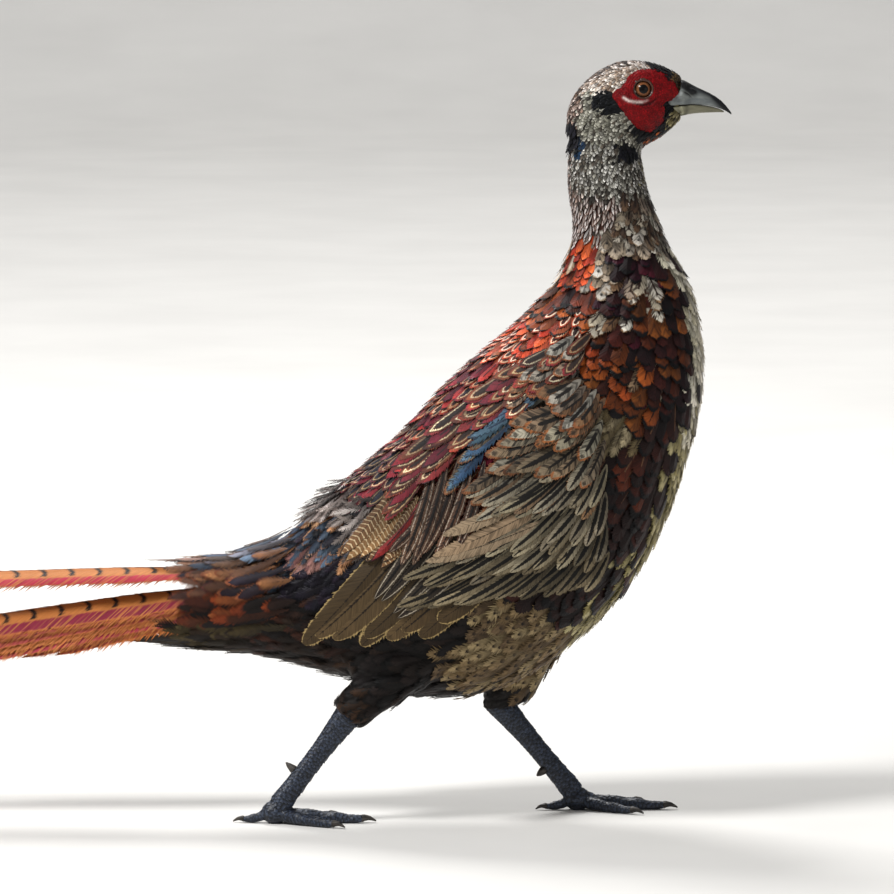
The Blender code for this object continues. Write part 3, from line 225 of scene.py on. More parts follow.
KINDS = {
    "forehead": kind((4.0, 1.8), "66502f 463522 85704a", 1.15, 0.9, edge="100c09", bands=(0.0, 2, 2, 0.7),
        stray=12.0),
    "face_black": kind((4.8, 1.9), "07080b 0e0f14 050608", 1.2, 1.2, gloss=0.5, stray=16.0),
    "crown": kind((5.0, 2.0), "5c432e 3e2c1f 7c6048 241811", 1.35, 0.9, centre="0e0a08",
        bands=(0.5, 2, 2, 0.95), centre_from=0.0, stray=12.0, vary=0.25),
    "brow": kind((4.6, 1.9), "d2c6b8 a8937f e2dad0 6c5646", 1.3, 0.9, centre="4a3a2e",
        bands=(0.22, 2, 2, 2), stray=11.0, vary=0.22),
    "ear_black": kind((4.8, 2.2), "07080b 0c0e13 050608", 1.35, 1.0, gloss=0.5, stray=9.0),
    "cheek": kind((3.8, 2.1), "aeab9c 8a8879 c8c5b8 67655a", 1.4, 0.9, edge="403d35",
        bands=(0.0, 2, 2, 0.84), vary=0.25, stray=15.0, loose=0.7),
    "throat_black": kind((5.2, 2.6), "08090c 101017", 1.5, 1.1, gloss=0.5, stray=9.0),
    "chin": kind((4.8, 1.7), "857a50 5e5436 a29870 2e2a1c", 1.25, 1.0, stray=14.0),
    "rust": kind((5.5, 2.0), "8a3f18 a8571f 2a1a10 1a120c", 1.3, 1.4, stray=18.0),
    "throat": kind((4.4, 2.1), "938b6a 6c6448 a8a080", 1.45, 1.0, edge="25221a", bands=(0.0, 2, 2, 0.82),
        stray=12.0),
    "neck": kind((4.5, 2.1), "b8b5aa 8c897e d6d3cb 55524b", 1.5, 1.0, edge="2c2a26",
        bands=(0.0, 2, 2, 0.80), vary=0.25, stray=12.0, loose=0.7),
    "neck_dark": kind((4.8, 2.1), "3a362f 26231f 544c42", 1.5, 1.0, stray=12.0, vary=0.25),
    "nape": kind((5.0, 2.1), "b39c8e 836a5a cbbcb0 50403a", 1.5, 1.1, edge="2c201a",
        bands=(0.0, 2, 2, 0.82), vary=0.22, stray=13.0, loose=0.7),
    "nape_black": kind((8.0, 2.4), "0a0b0f 16161d", 1.6, 2.4, gloss=0.5, stray=14.0),
    "nape_blue": kind((5.5, 2.4), "0f2436 0c1c2c 16304a", 1.6, 1.2, gloss=0.4),
    "lower_neck": kind((6.6, 2.6), "46291e 33201a 5c3a2c 1f1411", 1.9, 1.3,
        centre="c8bdb6 a59890 dcd4ce 8a7a70", bands=(0.5, 2, 2, 0.92), point=1.2, stray=12.0, round=0.3,
        vary=0.2),
    "neck_front": kind((12.0, 6.2), "a8a294 857a68 574230 35261c", 3.7, 1.8, centre="241812",
        bands=(0.16, 2, 2, 2), stray=14.0, mottle=0.85, loose=0.6, vary=0.2),
    "flame": kind((12, 6.0), "c2441c a83216 d0602a 7a2214", 3.6, 2.0, edge="3a120a",
        bands=(0.0, 2, 2, 0.93), gloss=0.6, point=1.2, stray=9.0),
    "flame_big": kind((18, 8.0), "bc3c1a a02a18 ca5426", 5.4, 2.7, edge="4a160c", bands=(0.0, 2, 2, 0.92),
        gloss=0.7, point=1.3, loose=0.7),
    "copper_small": kind((17, 8.0), "7a3a1c 5a2a16 94502a", 5.4, 2.6, edge="1c100c", bands=(0.0, 2, 2, 0.9),
        gloss=0.5, point=1.2),
    "crimson": kind((19, 8.2), "8c1a26 701428 a63028 561022", 5.8, 2.8, edge="22080f", centre="300c14",
        bands=(0.12, 2, 2, 0.90), gloss=0.7, point=1.3, loose=0.7, mottle=0.3),
    "mantle_pale": kind((17, 6.0), "9c866c 765840 c0b098", 4.2, 3.0, centre="ccc0ac",
        bands=(0.3, 2, 2, 0.9), loose=0.5, stray=14.0),
    "old_spotted": kind((15, 8), "c4bfb4 a89f92 8a7a66", 4.8, 2.6, centre="1c1714", edge="94826c",
        bands=(0.24, 2, 2, 0.94), centre_from=0.6, mottle=0.7, stray=14.0, vary=0.2),
    "maroon": kind((13, 8), "3a0c18 290816 200510 480f1e", 4.6, 2.0, edge="080508", tip=0.92, gloss=0.6),
    "old_white": kind((18, 8.8), "c2bba8 9a8c72 d4cfc0 6a4e36", 5.4, 2.9, centre="2a1a12", edge="7c6248",
        bands=(0.14, 2, 2, 0.93), centre_from=0.0, stray=16.0, mottle=0.9, loose=0.6, vary=0.2),
    "chestnut": kind((19, 11), "4c1f0c 643010 34140a 764218", 6.4, 2.8, edge="0a0708", tip=0.93, gloss=0.5,
        mottle=0.5, centre="1c0b08", vary=0.22),
    # Painted light: the glow of light through the front edge of the breast, pale above.
    "stripe_pale": kind((15, 7.5), "ccc6ae b2ab90 d8d3c0", 4.0, 2.2, centre="8e8670", bands=(0.10, 2, 2, 2),
        loose=0.5, stray=10.0),
    "breast_dark": kind((19, 11.5), "2a0d0a 1c080c 3e150e 150809", 6.6, 2.6, edge="060405", tip=0.92,
        gloss=0.55, mottle=0.3, centre="0c0506"),
    "copper": kind((18, 10.5), "8c4018 a5541f 6c2c14 90361a", 6.2, 2.8, centre="3c170c", edge="0e0a0a",
        bands=(0.12, 2, 2, 2), tip=0.91, gloss=0.7, mottle=0.3),
    "buff": kind((20, 7.6), "7c6e50 64563a 94876a", 5.0, 2.8, barbs=22, centre="403424",
        bands=(0.12, 2, 2, 2), loose=0.45, stray=13.0, mottle=0.5),
    "buff_spot": kind((16, 9), "a8a080 8c8462", 5.8, 3.0, centre="3a3024", bands=(0.1, 2, 2, 0.92),
        centre_from=0.5, mottle=0.6, stray=12.0),
    "lower_breast": kind((23, 11.5), "441a0c 34130a 5a2611 260e09", 7.0, 2.9, centre="6a4a32",
        edge="0a0708", bands=(0.05, 2, 2, 2), tip=0.93, gloss=0.5),
    "lower_dark": kind((22, 11.5), "200c08 150807 30110a", 6.8, 2.9, edge="060405", tip=0.91, gloss=0.5),
    # Painted light: the glow of light through the front edge of the breast, olive lower down.
    "stripe_olive": kind((17, 7.5), "9a9064 80764a b2a87c", 4.3, 2.3, centre="6a6240",
        bands=(0.08, 2, 2, 2), loose=0.45, stray=9.0),
    "belly": kind((22, 10.5), "826e4e 6e5a3c 94825e 5e4c36", 5.8, 2.9, centre="1c140e",
        bands=(0.36, 2, 2, 2), centre_from=0.66, loose=0.45, stray=9.0, mottle=0.25, vary=0.1),
    "flank": kind((24, 11), "0f0d0c 171110 221711", 6.6, 3.0, barbs=22, edge="060505", tip=0.92, gloss=0.4,
        loose=0.5, stray=11.0),
    "vent": kind((23, 8.4), "15100d 241810 322012", 5.4, 2.9, barbs=22, loose=0.35, stray=14.0),
    "mantle": kind((15, 7.0), "c24a1e a43c18 d0602a 7a3018", 4.6, 2.6, centre="42201a 2c1410",
        band="f0e0c4 d8c09a", edge="9c3a18 5a1c10", bands=(0.34, 0.44, 0.64, 0.90), gloss=0.5, point=1.5,
        centre_from=0.1, stray=9.0, vary=0.2),
    "back": kind((18, 7.4), "8a3a20 8c2624 542820 9c5028", 5.2, 2.7, centre="1e1310 33211a",
        band="e6d6b4 b89e74 ccae80", edge="9a3826 6a2020 8a4826 2c1a16", bands=(0.36, 0.46, 0.62, 0.90),
        gloss=0.5, point=1.5, centre_from=0.1, stray=12.0, mottle=0.3, vary=0.22),
    "low_back": kind((20, 7.8), "6a3424 6e2028 34261e", 5.1, 2.8, centre="151019 1a1c2a",
        band="ccb48c 9c8258", edge="201420 6a1e26 5c3a22", bands=(0.38, 0.47, 0.62, 0.90), gloss=0.5,
        point=1.5, centre_from=0.0, stray=11.0, mottle=0.3, vary=0.22),
    "rump_down": kind((20, 5), "6e6058 8c8078 4c403a b4aaa2 241f1c", 3.2, 7.5, barbs=16, loose=0.06,
        stray=28.0, vary=0.2),
    "rump_orange": kind((20, 6.6), "a0704a 86583a b8906a", 4.2, 2.9, barbs=22, centre="4e3020",
        bands=(0.14, 2, 2, 2), loose=0.3, stray=16.0, vary=0.2),
    "rump_blue": kind((20, 6.6), "3a4a5a 56687a 2a3644 1e2730", 4.1, 3.0, barbs=22, edge="7c5a42 242e3a",
        bands=(0.0, 2, 2, 0.86), loose=0.28, gloss=0.5, stray=14.0, vary=0.2),
    "rump_pink": kind((19, 7), "6e4540 4c2a2c 8c655c", 4.4, 3.0, barbs=22, loose=0.28, stray=16.0),
    "rump_dark": kind((21, 8), "15131c 201824 0e0d13", 4.8, 3.0, barbs=22, gloss=0.6, loose=0.35,
        stray=14.0),
    "undertail": kind((24, 8.6), "120d0b 1c120d 34190d", 5.4, 2.9, barbs=22, loose=0.35, gloss=0.4,
        stray=12.0),
    "shoulder": kind((17, 8.6), "a09c8e 745438 b8b2a4", 5.6, 2.8, centre="1a1614", edge="7c4a2a",
        bands=(0.2, 2, 2, 0.88), centre_from=0.3, bars=(0.5, 4, 0.8), mottle=0.6, stray=12.0),
    "scale": kind((2.6, 2.3), "282c34 1e2229 383d47", 1.75, 0.38, point=0.7, stray=4.0, loose=0.9,
        deep=0.2),
    "scute": kind((4.8, 6.6), "30353e 262a32 40464f", 3.0, 0.75, point=0.6, stray=1.0, loose=0.9, deep=0.2),
    "shin": kind((11, 4.0), "201e1d 2a2624 161312", 2.6, 2.0, barbs=22, loose=0.3, stray=15.0),
}

# Kinds that grow scattered among others, with their share.
MIXED = {
    "back": (("crimson", 0.34), ("low_back", 0.12)),
    "low_back": (("crimson", 0.22), ("rump_dark", 0.10)),
    "mantle": (("flame_big", 0.26), ("copper_small", 0.12)),
    "chestnut": (("breast_dark", 0.25), ("maroon", 0.12), ("copper", 0.10)),
    "copper": (("chestnut", 0.20), ("breast_dark", 0.10)),
    "breast_dark": (("chestnut", 0.15), ("maroon", 0.12)),
    "maroon": (("breast_dark", 0.30),),
    "lower_breast": (("lower_dark", 0.25), ("copper", 0.08)),
    "old_white": (("chestnut", 0.25), ("maroon", 0.10)),
    "neck": (("nape", 0.10), ("neck_dark", 0.22)),
    "cheek": (("neck_dark", 0.14),),
    "nape": (("neck_dark", 0.20),),
    "lower_neck": (("neck_dark", 0.16),),
    "rump_blue": (("rump_orange", 0.18), ("rump_dark", 0.15)),
    "rump_pink": (("rump_dark", 0.40),),
}

# The tiers of the folded wing, lowest first: the kinds it mixes, a count, the roots of its first and last
# feather and their tips in the side view, full width, and lift over the wing's bed at root and tip.
WING_TIERS = (
    (("primary",), 9, (-8.1, 187.9), (36.0, 147.3), (-77.7, 103.1), (-2.3, 112.9), (16.5, 13.0),
     (1.0, 2.6)),
    (("secondary",), 4, (3.5, 198.4), (29.0, 167.0), (-39.4, 127.6), (-22.0, 118.3), (9.5, 9.0),
     (1.3, 3.0)),
    (("ladder",), 7, (-20.9, 198.4), (-7.0, 182.1), (-59.2, 155.4), (-30.2, 147.3), (8.0, 8.0), (1.8, 3.4)),
    (("wine", "tertial"), 2, (-9.3, 187.9), (-2.3, 185.6), (-38.3, 149.6), (-27.8, 153.1), (7.0, 7.5),
     (2.0, 4.2)),
    (("tertial",), 5, (-1.2, 211.1), (26.7, 210.0), (-22.0, 149.6), (7.0, 155.4), (8.5, 8.0), (2.0, 4.6)),
    (("lower_covert",), 19, (39.4, 157.8), (96.9, 157.5), (-24.9, 123.5), (83.5, 132.6), (8.0, 7.0),
     (1.2, 3.4)),
    (("greater_covert", "lower_covert"), 19, (46.4, 174.0), (96.3, 174.6), (-18.6, 136.9), (87.0, 148.8),
     (8.0, 7.0), (1.3, 3.9)),
    (("greater_covert",), 18, (58.0, 190.7), (95.7, 190.9), (-7.0, 150.6), (87.0, 163.0), (8.5, 7.0),
     (1.4, 4.4)),
    (("middle_covert", "greater_covert"), 14, (67.3, 205.6), (95.7, 206.0), (22.7, 176.6), (86.7, 178.0),
     (8.0, 7.0), (1.6, 4.9)),
    (("tan_covert",), 3, (84.0, 186.0), (70.0, 201.0), (-10.0, 150.0), (2.0, 164.0), (9.5, 10.0),
     (1.6, 5.6)),
    (("lesser_covert", "middle_covert"), 7, (64.0, 203.0), (46.0, 213.0), (26.0, 179.0), (10.0, 190.0),
     (8.0, 8.0), (1.6, 4.2)),
    (("slate", "slate", "slate", "lesser_covert"), 12, (60.6, 250.7), (17.4, 212.0), (18.8, 224.9),
     (4.3, 188.1), (6.5, 7.0), (2.2, 4.4)),
    (("lesser_covert", "middle_covert"), 9, (69.6, 225.4), (95.1, 220.9), (26.4, 204.5), (78.6, 193.2),
     (10.5, 9.0), (1.4, 5.2)),
    (("lesser_covert",), 3, (76.0, 229.0), (82.0, 238.0), (24.0, 209.0), (38.0, 222.0), (9.5, 9.5),
     (1.4, 5.5)),
    (("marginal_covert",), 7, (76.6, 242.6), (94.5, 233.5), (41.3, 229.5), (75.1, 209.1), (10.5, 9.5),
     (1.3, 5.6)),
    (("small_covert",), 7, (80.2, 256.4), (94.0, 245.1), (54.5, 243.3), (77.6, 223.0), (10.0, 9.0),
     (1.2, 5.6)),
    (("rear_scapular", "wine", "rear_scapular"), 10, (9.3, 234.6), (-6.6, 207.6), (-25.2, 209.3),
     (-31.3, 174.4), (8.0, 7.5), (1.6, 4.6)),
    (("rear_scapular", "rear_scapular", "wine"), 10, (24.7, 247.6), (11.1, 220.7), (-6.6, 223.4),
     (-12.6, 193.2), (8.0, 7.5), (1.4, 4.9)),
    (("scapular", "scapular", "wine", "scapular"), 9, (40.0, 260.0), (27.0, 235.0), (14.8, 243.4),
     (4.6, 216.9), (7.5, 7.0), (1.2, 5.0)),
    (("scapular", "wine", "scapular"), 9, (54.0, 268.0), (40.0, 243.0), (31.0, 252.5), (20.0, 226.0),
     (7.5, 7.0), (1.0, 5.1)),
    (("scapular", "small_covert", "scapular"), 9, (66.0, 274.0), (53.0, 250.0), (46.0, 260.5),
     (35.0, 235.0), (7.5, 7.5), (0.9, 5.1)),
    (("small_covert", "scapular"), 8, (78.0, 279.5), (66.0, 256.0), (60.0, 267.5), (49.0, 243.0),
     (8.0, 8.0), (0.8, 5.2)),
    (("scapular", "small_covert"), 6, (88.0, 282.0), (78.0, 262.0), (72.0, 273.0), (62.0, 251.0),
     (8.0, 8.0), (0.6, 4.8)),
)

WING_KINDS = {
    "primary": kind((60, 16), "4a3a24 55442c 3c2f1d", centre="1c150d", edge="a48c5c",
        bands=(0.05, 2, 2, 0.90), loose=0.97, gloss=0.4, vary=0.05, point=0.9, barbs=60, round=0.0,
        deep=0.25),
    "secondary": kind((60, 10), "2e2720 3a3128", barbs=40, centre="120f0d", band="a89c88", edge="15110e",
        bands=(0.14, 0.56, 0.70, 0.95), point=1.3, round=0.0),
    "ladder": kind((60, 9), "6e4e32 5e4229 80603c", barbs=40, band="baa480", centre="4a3420",
        bands=(0.08, 2, 2, 0.97), bars=(1.0, 20, 0.94), bar_half=0.11, straight=0.6, point=1.2),
    "wine": kind((40, 8), "6a1220 7c2220 500f20", centre="2a1014", edge="2c0c12", bands=(0.1, 2, 2, 0.9),
        gloss=0.6, point=1.4, loose=0.7, mottle=0.3, barbs=30),
    "tertial": kind((60, 9), "54392a 442e22 664c3a", barbs=40, centre="1a120e", band="b8a896 8c7864",
        edge="3a2a20", bands=(0.20, 0.50, 0.62, 0.92), point=1.2, round=0.25, mottle=0.75, vary=0.2),
    "tan_covert": kind((60, 10), "8e765c 7e6850 9c886e", centre="1e1610", edge="4c3a28",
        bands=(0.05, 2, 2, 0.93), point=1.2, round=0.3, mottle=0.45, barbs=40, deep=0.2),
    "lower_covert": kind((50, 8), "6a5e48 584e3c 7c7058", centre="14110c", edge="50442e",
        bands=(0.30, 2, 2, 0.90), centre_from=0.04, round=0.25, mottle=0.2, vary=0.2, barbs=30),
    "greater_covert": kind((50, 8), "7c7260 665c48 90866e", centre="15120e", edge="5c4a32",
        bands=(0.32, 2, 2, 0.90), centre_from=0.04, round=0.25, mottle=0.2, vary=0.2, barbs=30),
    "middle_covert": kind((45, 9), "8a8270 766c58 7c5e42", barbs=26, centre="1b1713", edge="74563a",
        bands=(0.30, 2, 2, 0.90), centre_from=0.06, point=1.1, round=0.3, mottle=0.5),
    "slate": kind((45, 8), "243e5c 2e4e62 1e364e 445c6a 264452", centre="182a40", edge="1c2a38",
        bands=(0.14, 2, 2, 0.88), loose=0.35, gloss=0.7, vary=0.25),
    "lesser_covert": kind((38, 9), "8e8878 74624c 827a68 6a5a48", centre="17130f", band="1b1612",
        edge="74492c", bands=(0.18, 2, 2, 0.88), centre_from=0.1, bars=(0.8, 7, 0.8), bar_half=0.15,
        straight=0.3, mottle=0.6, vary=0.25, barbs=26),
    "marginal_covert": kind((34, 9), "98927f 74563c 88806c", centre="17130f", band="1b1612", edge="82502c",
        bands=(0.22, 2, 2, 0.86), centre_from=0.2, bars=(0.8, 5, 0.8), bar_half=0.16, straight=0.3,
        mottle=0.6, vary=0.25, barbs=26),
    "small_covert": kind((31, 9), "aaa598 7e5e42 5e4430", barbs=26, centre="1b1613", band="1f1a16",
        edge="7c4c2e", bands=(0.22, 2, 2, 0.86), centre_from=0.2, bars=(0.7, 4, 0.8), bar_half=0.16,
        straight=0.3, mottle=0.6),
    "rear_scapular": kind((42, 8), "5a3020 6a3824 442018", centre="1c1310 2a1c16",
        band="d4c098 a88c64 8c7450", edge="6e3420 6a2024 35201a", bands=(0.36, 0.45, 0.60, 0.88),
        centre_from=0.0, point=1.4, gloss=0.4, mottle=0.45, vary=0.25, barbs=26),
    "scapular": kind((36, 8), "74341f 4a2218 84462a", centre="17100d 2c1d16", band="e0d2ae bca478 9a8460",
        edge="943820 7c1c24 5a2a1c 35201a", bands=(0.34, 0.44, 0.60, 0.88), centre_from=0.0, point=1.3,
        gloss=0.5, mottle=0.45, vary=0.25, barbs=26),
}


def linear(colour):
    """An sRGB hex colour as linear red, green, blue and alpha."""
    parts = [int(colour[i:i + 2], 16) / 255 for i in (0, 2, 4)]
    return tuple(p / 12.92 if p <= 0.04045 else ((p + 0.055) / 1.055) ** 2.4 for p in parts) + (1.0,)


def node(tree, kind_of_node, inputs=(), **settings):
    """Adds a node with its settings.

    inputs gives each socket its value, or the node or output that feeds it, in order or by name or number.
    """
    made = tree.nodes.new(f"ShaderNode{kind_of_node}")
    for name, value in settings.items():
        setattr(made, name, value)
    for socket, value in inputs.items() if isinstance(inputs, dict) else enumerate(inputs):
        if isinstance(value, bpy.types.Node):
            value = next(output for output in value.outputs if output.enabled)
        if isinstance(value, bpy.types.NodeSocket):
            tree.links.new(value, made.inputs[socket])
        else:
            made.inputs[socket].default_value = value
    return made


def new_material(name):
    """An empty node material, and what adds a node to it."""
    material = bpy.data.materials.new(name)
    material.use_nodes = True
    material.node_tree.nodes.clear()
    return material, partial(node, material.node_tree)


def set_ramp(ramp, *stops):
    """Sets the places and the sRGB colours of a ramp's two stops."""
    for element, (position, colour) in zip(ramp.color_ramp.elements, stops):
        element.position, element.color = position, linear(colour)


def merged_copy(*nodes):
    """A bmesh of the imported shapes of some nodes, with their loose triangles merged."""
    shape = bmesh.new()
    for name in nodes:
        shape.from_mesh(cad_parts[name].data)
    bmesh.ops.remove_doubles(shape, verts=shape.verts, dist=1e-6)
    return shape


def fatten(shape, by):
    """Moves every point of a bmesh out along its normal."""
    shape.normal_update()
    outwards = [(point, point.normal.copy()) for point in shape.verts]
    for point, normal in outwards:
        point.co += normal * by


def soften(shape, points, rounds):
    """Smooths some points of a bmesh."""
    axes = dict.fromkeys(("use_axis_x", "use_axis_y", "use_axis_z"), True)
    for _ in range(rounds):
        bmesh.ops.smooth_vert(shape, verts=points, factor=0.5, **axes)


def face_towards(shape, way):
    """Turns the faces of an open bmesh so that together they face a way."""
    bmesh.ops.recalc_face_normals(shape, faces=shape.faces)
    if sum(face.normal.dot(way) for face in shape.faces) < 0:
        bmesh.ops.reverse_faces(shape, faces=shape.faces)


def values_of(parts, name, width, number=np.float32):
    """One property of each part of a mesh, as rows of numbers."""
    values = np.empty(len(parts) * width, number)
    parts.foreach_get(name, values)
    return values.reshape(-1, width)


def columns(*values):
    """Values side by side, each spread over the shape of the others."""
    return np.stack(np.broadcast_arrays(*values), -1)


def clamped(value):
    """A value held between 0 and 1."""
    return max(0.0, min(1.0, value))


def hump(x, z, centre, reach, power=2):
    """1 at a centre, falling to 0 round it over a reach in x and in z."""
    return math.exp(-((x - centre[0]) / reach[0]) ** power - ((z - centre[1]) / reach[1]) ** power)


def near_tree(points):
    """A tree that finds the nearest of some points."""
    tree = KDTree(len(points))
    for index, point in enumerate(points):
        tree.insert(point, index)
    tree.balance()
    return tree


def tree_of(shape):
    """A search tree of a bmesh, or of an object's mesh."""
    if isinstance(shape, bmesh.types.BMesh):
        return BVHTree.FromBMesh(shape)
    copy = bmesh.new()
    copy.from_mesh(shape.data)
    found = BVHTree.FromBMesh(copy)
    copy.free()
    return found


def mesh_from(shape, name):
    """Turns a bmesh into a mesh."""
    mesh = bpy.data.meshes.new(name)
    shape.to_mesh(mesh)
    shape.free()
    return mesh


def placed(mesh, material):
    """Gives a mesh its finish and puts it in the scene."""
    mesh.materials.append(material)
    mesh.polygons.foreach_set("use_smooth", [True] * len(mesh.polygons))
    made = bpy.data.objects.new(mesh.name, mesh)
    bpy.context.scene.collection.objects.link(made)
    return made


def piece_from(mesh, material):
    """Turns a mesh into a finished piece that rides on the body."""
    piece = placed(mesh, material)
    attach(piece, "root")
    return piece


def remeshed(shape, voxel, rounds):
    """One closed smooth surface round the overlapping bodies of a bmesh."""
    holder = bpy.data.objects.new("remeshed", mesh_from(shape, "remeshed"))
    bpy.context.scene.collection.objects.link(holder)
    remesh = holder.modifiers.new("one skin", "REMESH")
    remesh.mode, remesh.voxel_size = "VOXEL", voxel
    smooth = holder.modifiers.new("smooth", "SMOOTH")
    smooth.factor, smooth.iterations = 0.5, rounds
    bpy.context.view_layer.update()
    made = bpy.data.meshes.new_from_object(holder.evaluated_get(bpy.context.evaluated_depsgraph_get()))
    bpy.data.objects.remove(holder)
    result = bmesh.new()
    result.from_mesh(made)
    bpy.data.meshes.remove(made)
    return result


def in_side_view(points, drops=0.0):
    """Places in the side view, in millimetres, of points in the frame."""
    ahead, out, high = np.moveaxis(np.asarray(points, float), -1, 0)
    return columns((ahead - BIRD_X) / MM, (high - drops * np.abs(out)) / MM)


def lie_at(points):
    """The way the feathers point at each place, before it is laid on the skin."""
    table = np.array(LIE, float)
    away = np.linalg.norm(in_side_view(points, DROPS)[:, None] - table[None, :, :2], axis=2)
    angle = np.radians(table[:, 2])
    ahead = 1 / (away + 1.0) ** 3 @ columns(np.cos(angle), 0, np.sin(angle))
    ahead /= np.linalg.norm(ahead, axis=1)[:, None]
    ahead[:, 1] = 0.16 * np.clip(points[:, 1] / 0.03, -1, 1)
    return ahead


def kinds_at(places, random=None):
    """The kind of feather that grows at each place in the side view."""
    names = [name for name, spots in PLACES.items() for _ in spots]
    spots = np.array([spot for group in PLACES.values() for spot in group], float)
    if random is not None:
        # The kinds mix along their borders, on the body further than on the head.
        spread = np.clip((places[:, 1] - 320) / 80, 0, 1)
        places = places + random.normal(size=places.shape) * (2.8 - 1.9 * spread)[:, None]
    tree = near_tree(columns(*spots.T, 0))
    return np.array([names[tree.find((x, z, 0))[1]] for x, z in places])


def mixed(kinds, random):
    """The kinds with some feathers of each swapped for others that grow among them."""
    chance = random.random(len(kinds))
    kinds = kinds.copy()
    for name, others in MIXED.items():
        low = 0.0
        for other, share in others:
            kinds[(kinds == name) & (chance >= low) & (chance < low + share)] = other
            low += share
    return kinds


def face_reach(angle):
    """How far the red skin reaches from the eye, in millimetres, by radians turned from straight ahead."""
    degrees, reach = zip(*FACE_OUTLINE)
    return np.interp(np.degrees(angle) % 360, degrees, reach)


def on_face(places, margin):
    """Which places in the side view are on the red skin of the face."""
    away = np.asarray(places, float) - EYE_AT
    return np.hypot(away[..., 0], away[..., 1]) < face_reach(np.arctan2(away[..., 1], away[..., 0])) + margin


def horn_edge(height):
    """How far forward the feathers reach to the horn of the bill, by height in the side view."""
    return np.interp(height, *zip(*HORN_EDGE))


def scatter(skin, random, covered, kinds_of=None):
    """Feather roots spread over the skin, each as far from its neighbours as its kind asks."""
    mesh = skin.data
    mesh.calc_loop_triangles()
    corners = values_of(mesh.vertices, "co", 3).astype(float)
    corners = corners[values_of(mesh.loop_triangles, "vertices", 3, np.int32)]
    area = np.linalg.norm(np.cross(corners[:, 1] - corners[:, 0], corners[:, 2] - corners[:, 0]), axis=1) / 2
    kinds_of = kinds_of or (lambda points, random: kinds_at(in_side_view(points, DROPS), random))
    middle_kinds = kinds_of(corners.mean(1), None)
    every = np.array([KINDS[name]["every"] for name in middle_kinds]) * MM
    count = area / every ** 2
    chosen = random.choice(len(area), int(count.sum() * TRIES), p=count / count.sum())
    a, b = random.random((2, len(chosen)))
    a, b = np.where(a + b > 1, 1 - a, a)[:, None], np.where(a + b > 1, 1 - b, b)[:, None]
    base = corners[chosen]
    points = base[:, 0] + a * (base[:, 1] - base[:, 0]) + b * (base[:, 2] - base[:, 0])
    kinds = kinds_of(points, random)
    kept = ~covered(points)
    points, kinds = points[kept], kinds[kept]
    every = np.array([KINDS[name]["every"] for name in kinds]) * MM
    tree = near_tree(points)
    open_still = np.ones(len(points), bool)
    taken = []
    for index in range(len(points)):
        if open_still[index]:
            taken.append(index)
            for _, near, _ in tree.find_range(points[index], every[index] * CLOSEST):
                open_still[near] = False
    points, kinds, every = points[taken], kinds[taken], every[taken]
    surface = tree_of(skin)
    for _ in range(PUSHES):
        tree = near_tree(points)
        moved = points.copy()
        for index, point in enumerate(points):
            near = [n for _, n, _ in tree.find_range(point, every[index] * 1.5) if n != index]
            if near:
                away = point - points[near]
                length = np.linalg.norm(away, axis=1)
                push = np.clip(1.15 * every[index] - length, 0, None) / (length + 1e-9)
                moved[index] = point + 0.25 * (away * push[:, None]).sum(0)
        points = np.array([surface.find_nearest(point)[0] for point in moved])
    return points, kinds


def laid_grids(points, kinds, surface, random, heading):
    """For each feather, 4 places along it by 3 across, on the skin, with the skin's normals there."""
    looks = [KINDS[name] for name in kinds]
    stray = np.radians([look["stray"] for look in looks]) * random.normal(size=len(points))
    grow = random.normal(1.0, 0.07, len(points))
    places, normals = np.empty((len(points), 4, 3, 3)), np.empty((len(points), 4, 3, 3))
    for index, point in enumerate(points):
        length, width = (value * MM * grow[index] for value in looks[index]["size"])
        here, normal, _, _ = surface.find_nearest(point)
        ahead = Vector(heading[index])
        ahead = (ahead - normal * ahead.dot(normal)).normalized()
        ahead = Matrix.Rotation(stray[index], 3, normal) @ ahead
        for row in range(4):
            if row:
                here, normal, _, _ = surface.find_nearest(here + ahead * (length / 3))
                ahead = (ahead - normal * ahead.dot(normal)).normalized()
            across = normal.cross(ahead)
            for column, side in enumerate((-1, 0, 1)):
                spot, facing = here, normal
                if side:
                    spot, facing, _, _ = surface.find_nearest(here + across * (side * width / 2))
                places[index, row, column] = spot
                normals[index, row, column] = facing
    return places, normals


